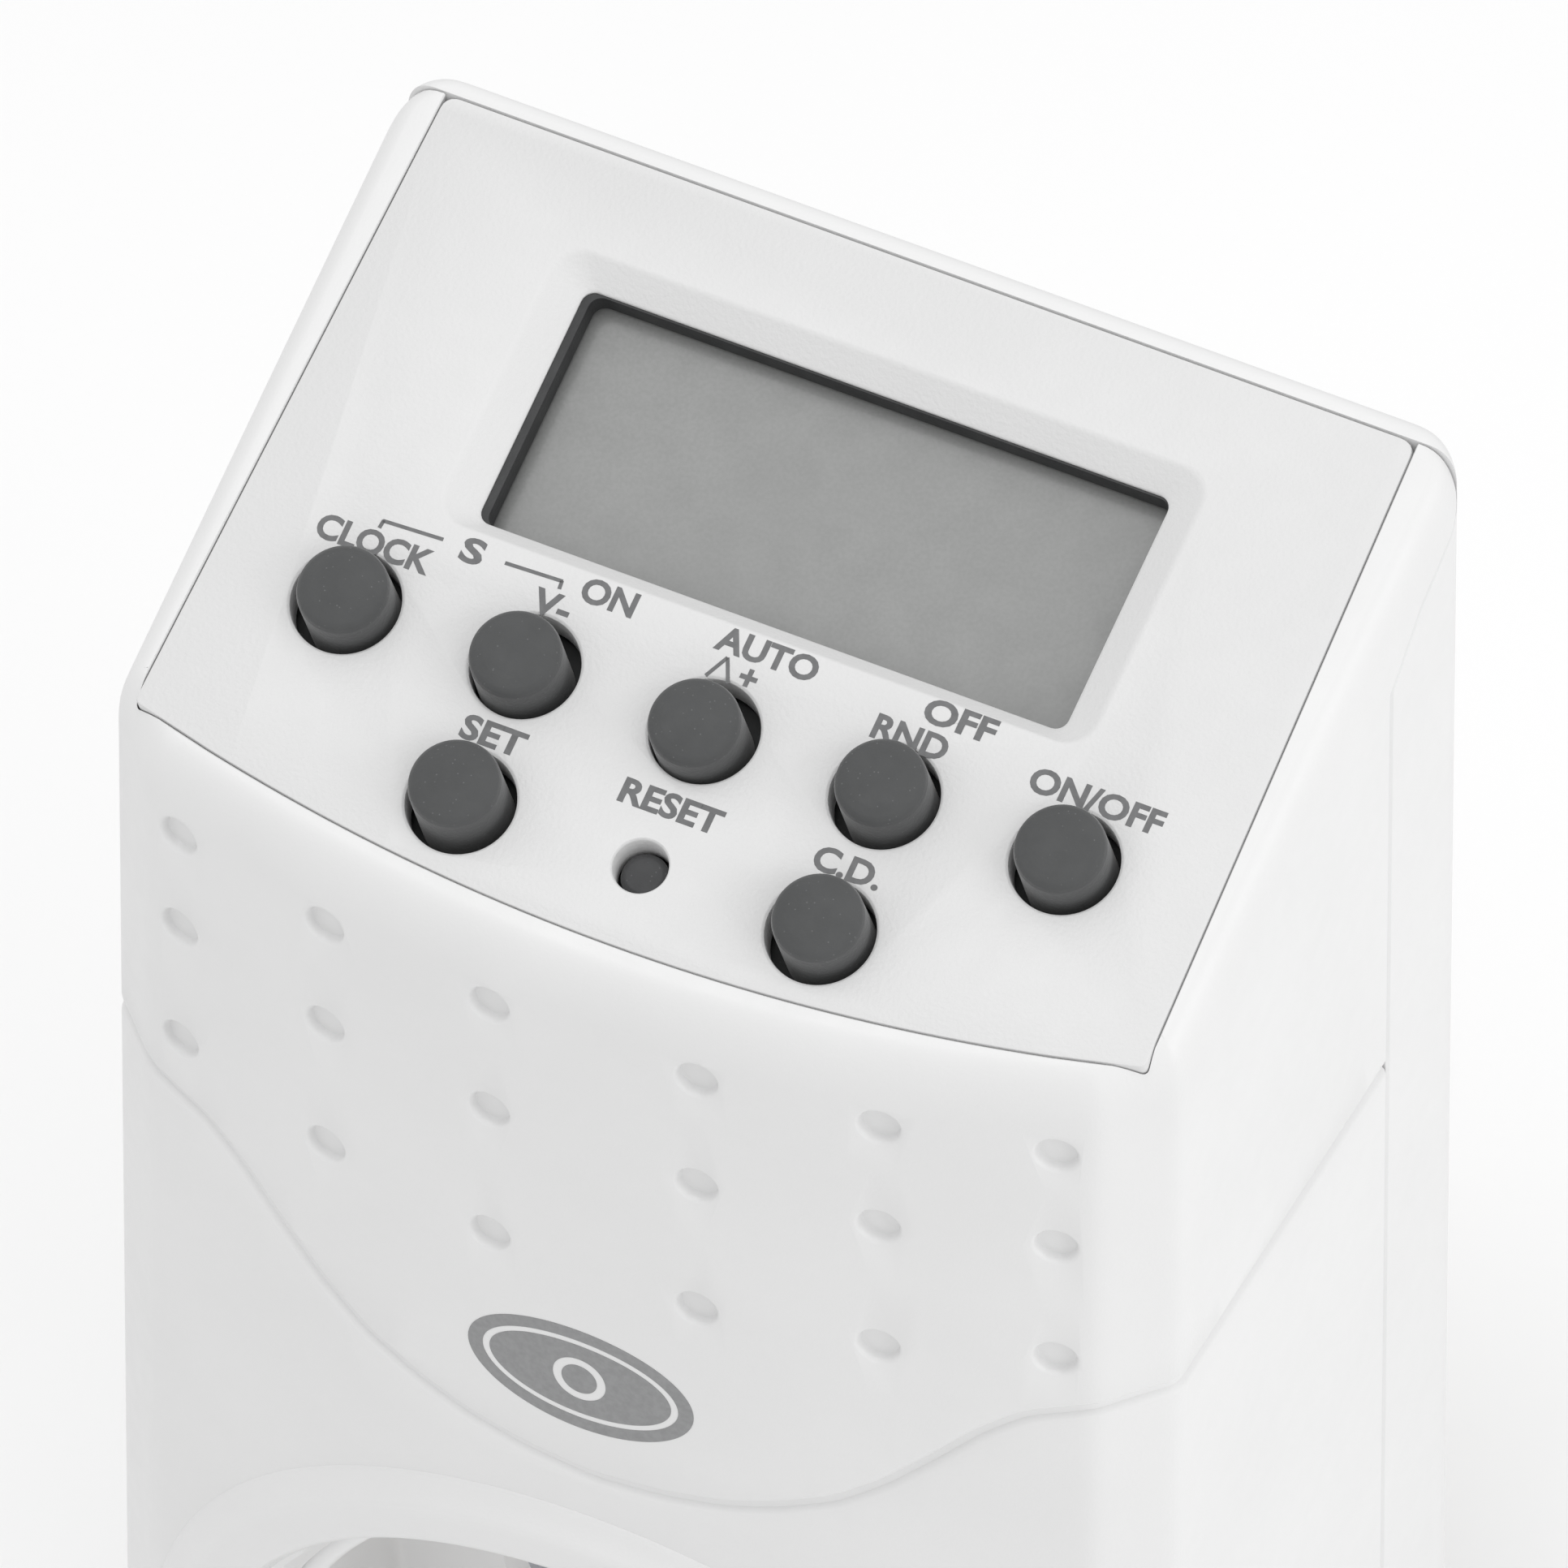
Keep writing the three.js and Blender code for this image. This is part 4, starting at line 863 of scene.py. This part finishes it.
def badge():
    """A plain oval badge on the curved front: three printed bands with the housing between them."""
    bands = [badge_patch("badge_rim", (6.4, 3.7), (5.55, 2.9)),
             badge_patch("badge_field", (5.15, 2.55), (1.5, 1.5)),
             badge_patch("badge_centre", (1.0, 1.0), (0.01, 0.01))]
    return finish(merged("badge", bands), BADGE_INK, slot="key_rubber")


# ---- Socket and plug ----

def well_cup():
    """The socket's cup, with a rounded corner at its floor, flared pin holes and the clip slots."""
    profile = [(0.02, FLOOR_Y)] + soften([(8, FLOOR_Y), (WELL_R, FLOOR_Y), (WELL_R, -45)], 0.7)[1:]
    profile += soften([(WELL_R, -46), (WELL_R, -53.5), (CUP_R, -53.5), (CUP_R, -50)], 0.55)[1:]
    profile += [(CUP_R, FLOOR_Y + FLOOR_THICK), (0.02, FLOOR_Y + FLOOR_THICK)]
    cup = lathe("well_cup", profile, along_y(), 144)
    for x in (-PIN_X, PIN_X):
        hole = [(4.0, FLOOR_Y - 0.5), (4.0, FLOOR_Y - 0.02), (3.5, FLOOR_Y + 0.45), (3.2, FLOOR_Y + 0.9),
                (3.2, -30)]
        cut(cup, lathe("pin_hole", hole, along_y(x, 0), 64))
    for low, high in ((15.9, 17.9), (-17.9, -15.9)):
        cut(cup, box("clip_slot", (-2.9, 2.9), (-45, -30), (low, high)))
    return finish(cup, MATERIALS["well_plastic"], slot="well_plastic", replaces=["socket_well"])


def plug_pin(name, x):
    """A plug pin with a rounded tip and a flange inside the pin plate."""
    flange = -3.5
    profile = [(0.03, -13), (1.3, -13), (1.3, flange - 1.4), (3.6, flange - 1.4), (3.6, flange)]
    profile += soften([(2.4, flange), (2.4, 17.3), (2.05, 18.4), (1.2, 18.9), (0.03, 19)], 0.8, 5)
    pin = lathe(f"{name}_prong", profile, along_y(x), 64)
    return finish(pin, MATERIALS["nickel"], slot="nickel", replaces=[name])


def pin_plate():
    """The disc that carries the pins, slightly dished, with a raised collar round each pin."""
    profile = soften([(0.02, -3.2), (13.8, -3.2), (13.8, -0.05), (12.6, 0.0), (11.9, -0.35),
                      (0.02, -0.35)], 0.2)
    disc = lathe("pin_plate", profile, along_y(), 120)
    for x in (-PIN_X, PIN_X):
        join(disc, lathe("collar", [(3.6, -1), (3.6, -0.3), (3.45, -0.05), (3.3, 0), (1, 0)], along_y(x), 48))
    for x in (-PIN_X, PIN_X):
        cut(disc, lathe("pin_room", [(2.7, -10), (2.7, 5)], along_y(x), 48))
    return finish(disc, MATERIALS["housing_plastic"], slot="housing_plastic", replaces=["pin_carrier"])


def screw(index, x, z):
    """A pan-head screw with a cross recess."""
    head = BACK_Y - 2.2
    profile = [(0.05, -42), (0.9, -40.6), (1.4, -39.4), (1.4, head - 2.1)]
    profile += soften([(2.5, head - 2.1), (2.5, head - 0.7), (2.1, head - 0.1), (1.2, head),
                       (0.03, head)], 0.2)
    piece = lathe(f"screw_{index}", profile, along_y(x, z), 48)
    deep = head - 0.9
    for wide, tall in ((1.5, 0.25), (0.25, 1.5)):
        cut(piece, box("recess", (x - wide, x + wide), (deep, BACK_Y), (z - tall, z + tall)))
    return finish(piece, MATERIALS["steel"], slot="steel", replaces=[f"housing_screw_{index}"])


# ---- The other nodes: rounded copies with their own materials ----

SLOT_OF = {part["node"]: part["material_slot"] for part in frame["record"]["subparts"]}
BODY_OF = {node: body for body, nodes in frame["record"]["behaviour"]["bodies"].items() for node in nodes}


def rounded_copy(node, width):
    """The node's own shape with its long edges eased, in place of the sharp one."""
    source = frame["nodes"][node]
    piece = bpy.data.objects.new(f"{node}_eased", source.data.copy())
    bpy.context.scene.collection.objects.link(piece)
    piece.data.transform(Matrix.Scale(1 / MM, 4))
    weld = piece.modifiers.new("flat", "DECIMATE")
    weld.decimate_type = "DISSOLVE"
    weld.angle_limit = math.radians(1)
    bevel = piece.modifiers.new("ease", "BEVEL")
    bevel.width = width
    bevel.segments = 2
    bevel.limit_method = "ANGLE"
    bevel.angle_limit = math.radians(40)
    bpy.context.view_layer.update()
    evaluated = piece.evaluated_get(bpy.context.evaluated_depsgraph_get())
    result = bpy.data.meshes.new_from_object(evaluated)
    piece.modifiers.clear()
    piece.data = result
    slot = SLOT_OF[node]
    return finish(piece, MATERIALS[slot], BODY_OF[node], slot, [node])


EASED = {                       # how far each node's edges are eased
    "earth_strap_top": 0.12, "earth_strap_bottom": 0.12, "contact_block": 0.2, "shutter": 0.15,
    "relay_case": 0.3, "relay_base": 0.2, "film_capacitor": 0.5, "processor_chip": 0.12,
    "display_holder": 0.12, "keypad_mat": 0.1, "power_board": 0.08, "control_board": 0.08,
}


# ---- Light, floor and camera ----

def area_light(name, place, target, size, power):
    """A rectangular lamp at a place, in metres, turned towards its target."""
    data = bpy.data.lights.new(name, "AREA")
    data.shape = "RECTANGLE"
    data.size, data.size_y = size
    data.energy = power
    light = bpy.data.objects.new(name, data)
    light.location = place
    light.rotation_euler = (Vector(target) - Vector(place)).to_track_quat("-Z", "Y").to_euler()
    bpy.context.scene.collection.objects.link(light)


def studio():
    """Even white surroundings, two soft lamps and a pale paper floor just below the object."""
    world = bpy.data.worlds.new("studio")
    bpy.context.scene.world = world
    world.use_nodes = True
    background = world.node_tree.nodes["Background"]
    background.inputs["Color"].default_value = (1, 1, 1, 1)
    background.inputs["Strength"].default_value = 0.79
    middle = (0, -0.04, 0.02)
    area_light("overhead", (-0.08, -0.12, 0.58), middle, (0.35, 0.35), 0.92)
    area_light("right_side", (0.6, -0.1, 0.25), middle, (0.4, 0.4), 1.05)
    floor_mesh = bpy.data.meshes.new("floor")
    reach, level = 4.0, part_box("front_housing")[0].z - 0.0002
    floor_mesh.from_pydata([(-reach, -reach, level), (reach, -reach, level), (reach, reach, level),
                            (-reach, reach, level)], [], [(0, 1, 2, 3)])
    floor = bpy.data.objects.new("floor", floor_mesh)
    bpy.context.scene.collection.objects.link(floor)
    made = Nodes("floor_paper", (0.95, 0.95, 0.95), 0.9)
    made.mottle(6, 0.01)
    made.bump(made.noise(900, 3), 0.00003, 0.2)
    floor_mesh.materials.append(made.material)


def camera():
    """A long lens above the right front corner, placed from the panel's middle."""
    azimuth, elevation, roll = math.radians(25.95), math.radians(48.0), math.radians(0.05)
    sensor, pixels = 36.0, 1932
    focal, scale = 80000, 24.4  # in pixels, and in pixels per millimetre at the panel's middle
    right = Vector((math.cos(azimuth), math.sin(azimuth), 0))
    back = Vector((math.sin(azimuth) * math.cos(elevation), -math.cos(azimuth) * math.cos(elevation),
                   math.sin(elevation)))
    up = back.cross(right)
    across = right * math.cos(roll) + up * math.sin(roll)
    upright = up * math.cos(roll) - right * math.sin(roll)
    away = focal / scale
    offset = (-3.75, 2.59)      # the panel's middle, right of and above the picture's centre
    place = Vector((0, PANEL_Y, PANEL_Z)) + back * away - across * offset[0] - upright * offset[1]
    data = bpy.data.cameras.new("camera")
    data.lens = focal / pixels * sensor
    data.sensor_width = sensor
    data.clip_start, data.clip_end = 0.1, 20
    view = bpy.data.objects.new("camera", data)
    turn = Matrix((across, upright, back)).transposed().to_4x4()
    view.matrix_world = Matrix.Translation(place * MM) @ turn
    bpy.context.scene.collection.objects.link(view)
    bpy.context.scene.camera = view


# ---- Build ----

camera()
studio()
bpy.context.scene.view_settings.view_transform = "Standard"

front_shell()
rear_shell()
panel_plate()
for key_name, (key_x, key_y) in KEYS.items():
    rubber_key(key_name, key_x, key_y)
reset_pin()
display_cell()
panel_print()
badge()
well_cup()
plug_pin("plug_pin_live", PIN_X)
plug_pin("plug_pin_neutral", -PIN_X)
pin_plate()
for number, (screw_x, screw_z) in enumerate(SCREWS, 1):
    screw(number, screw_x, screw_z)
for eased_node, ease_width in EASED.items():
    rounded_copy(eased_node, ease_width)

for node_name, node_object in frame["nodes"].items():
    if not node_object.hide_render:
        node_object.data.materials.clear()
        node_object.data.materials.append(MATERIALS[SLOT_OF[node_name]])
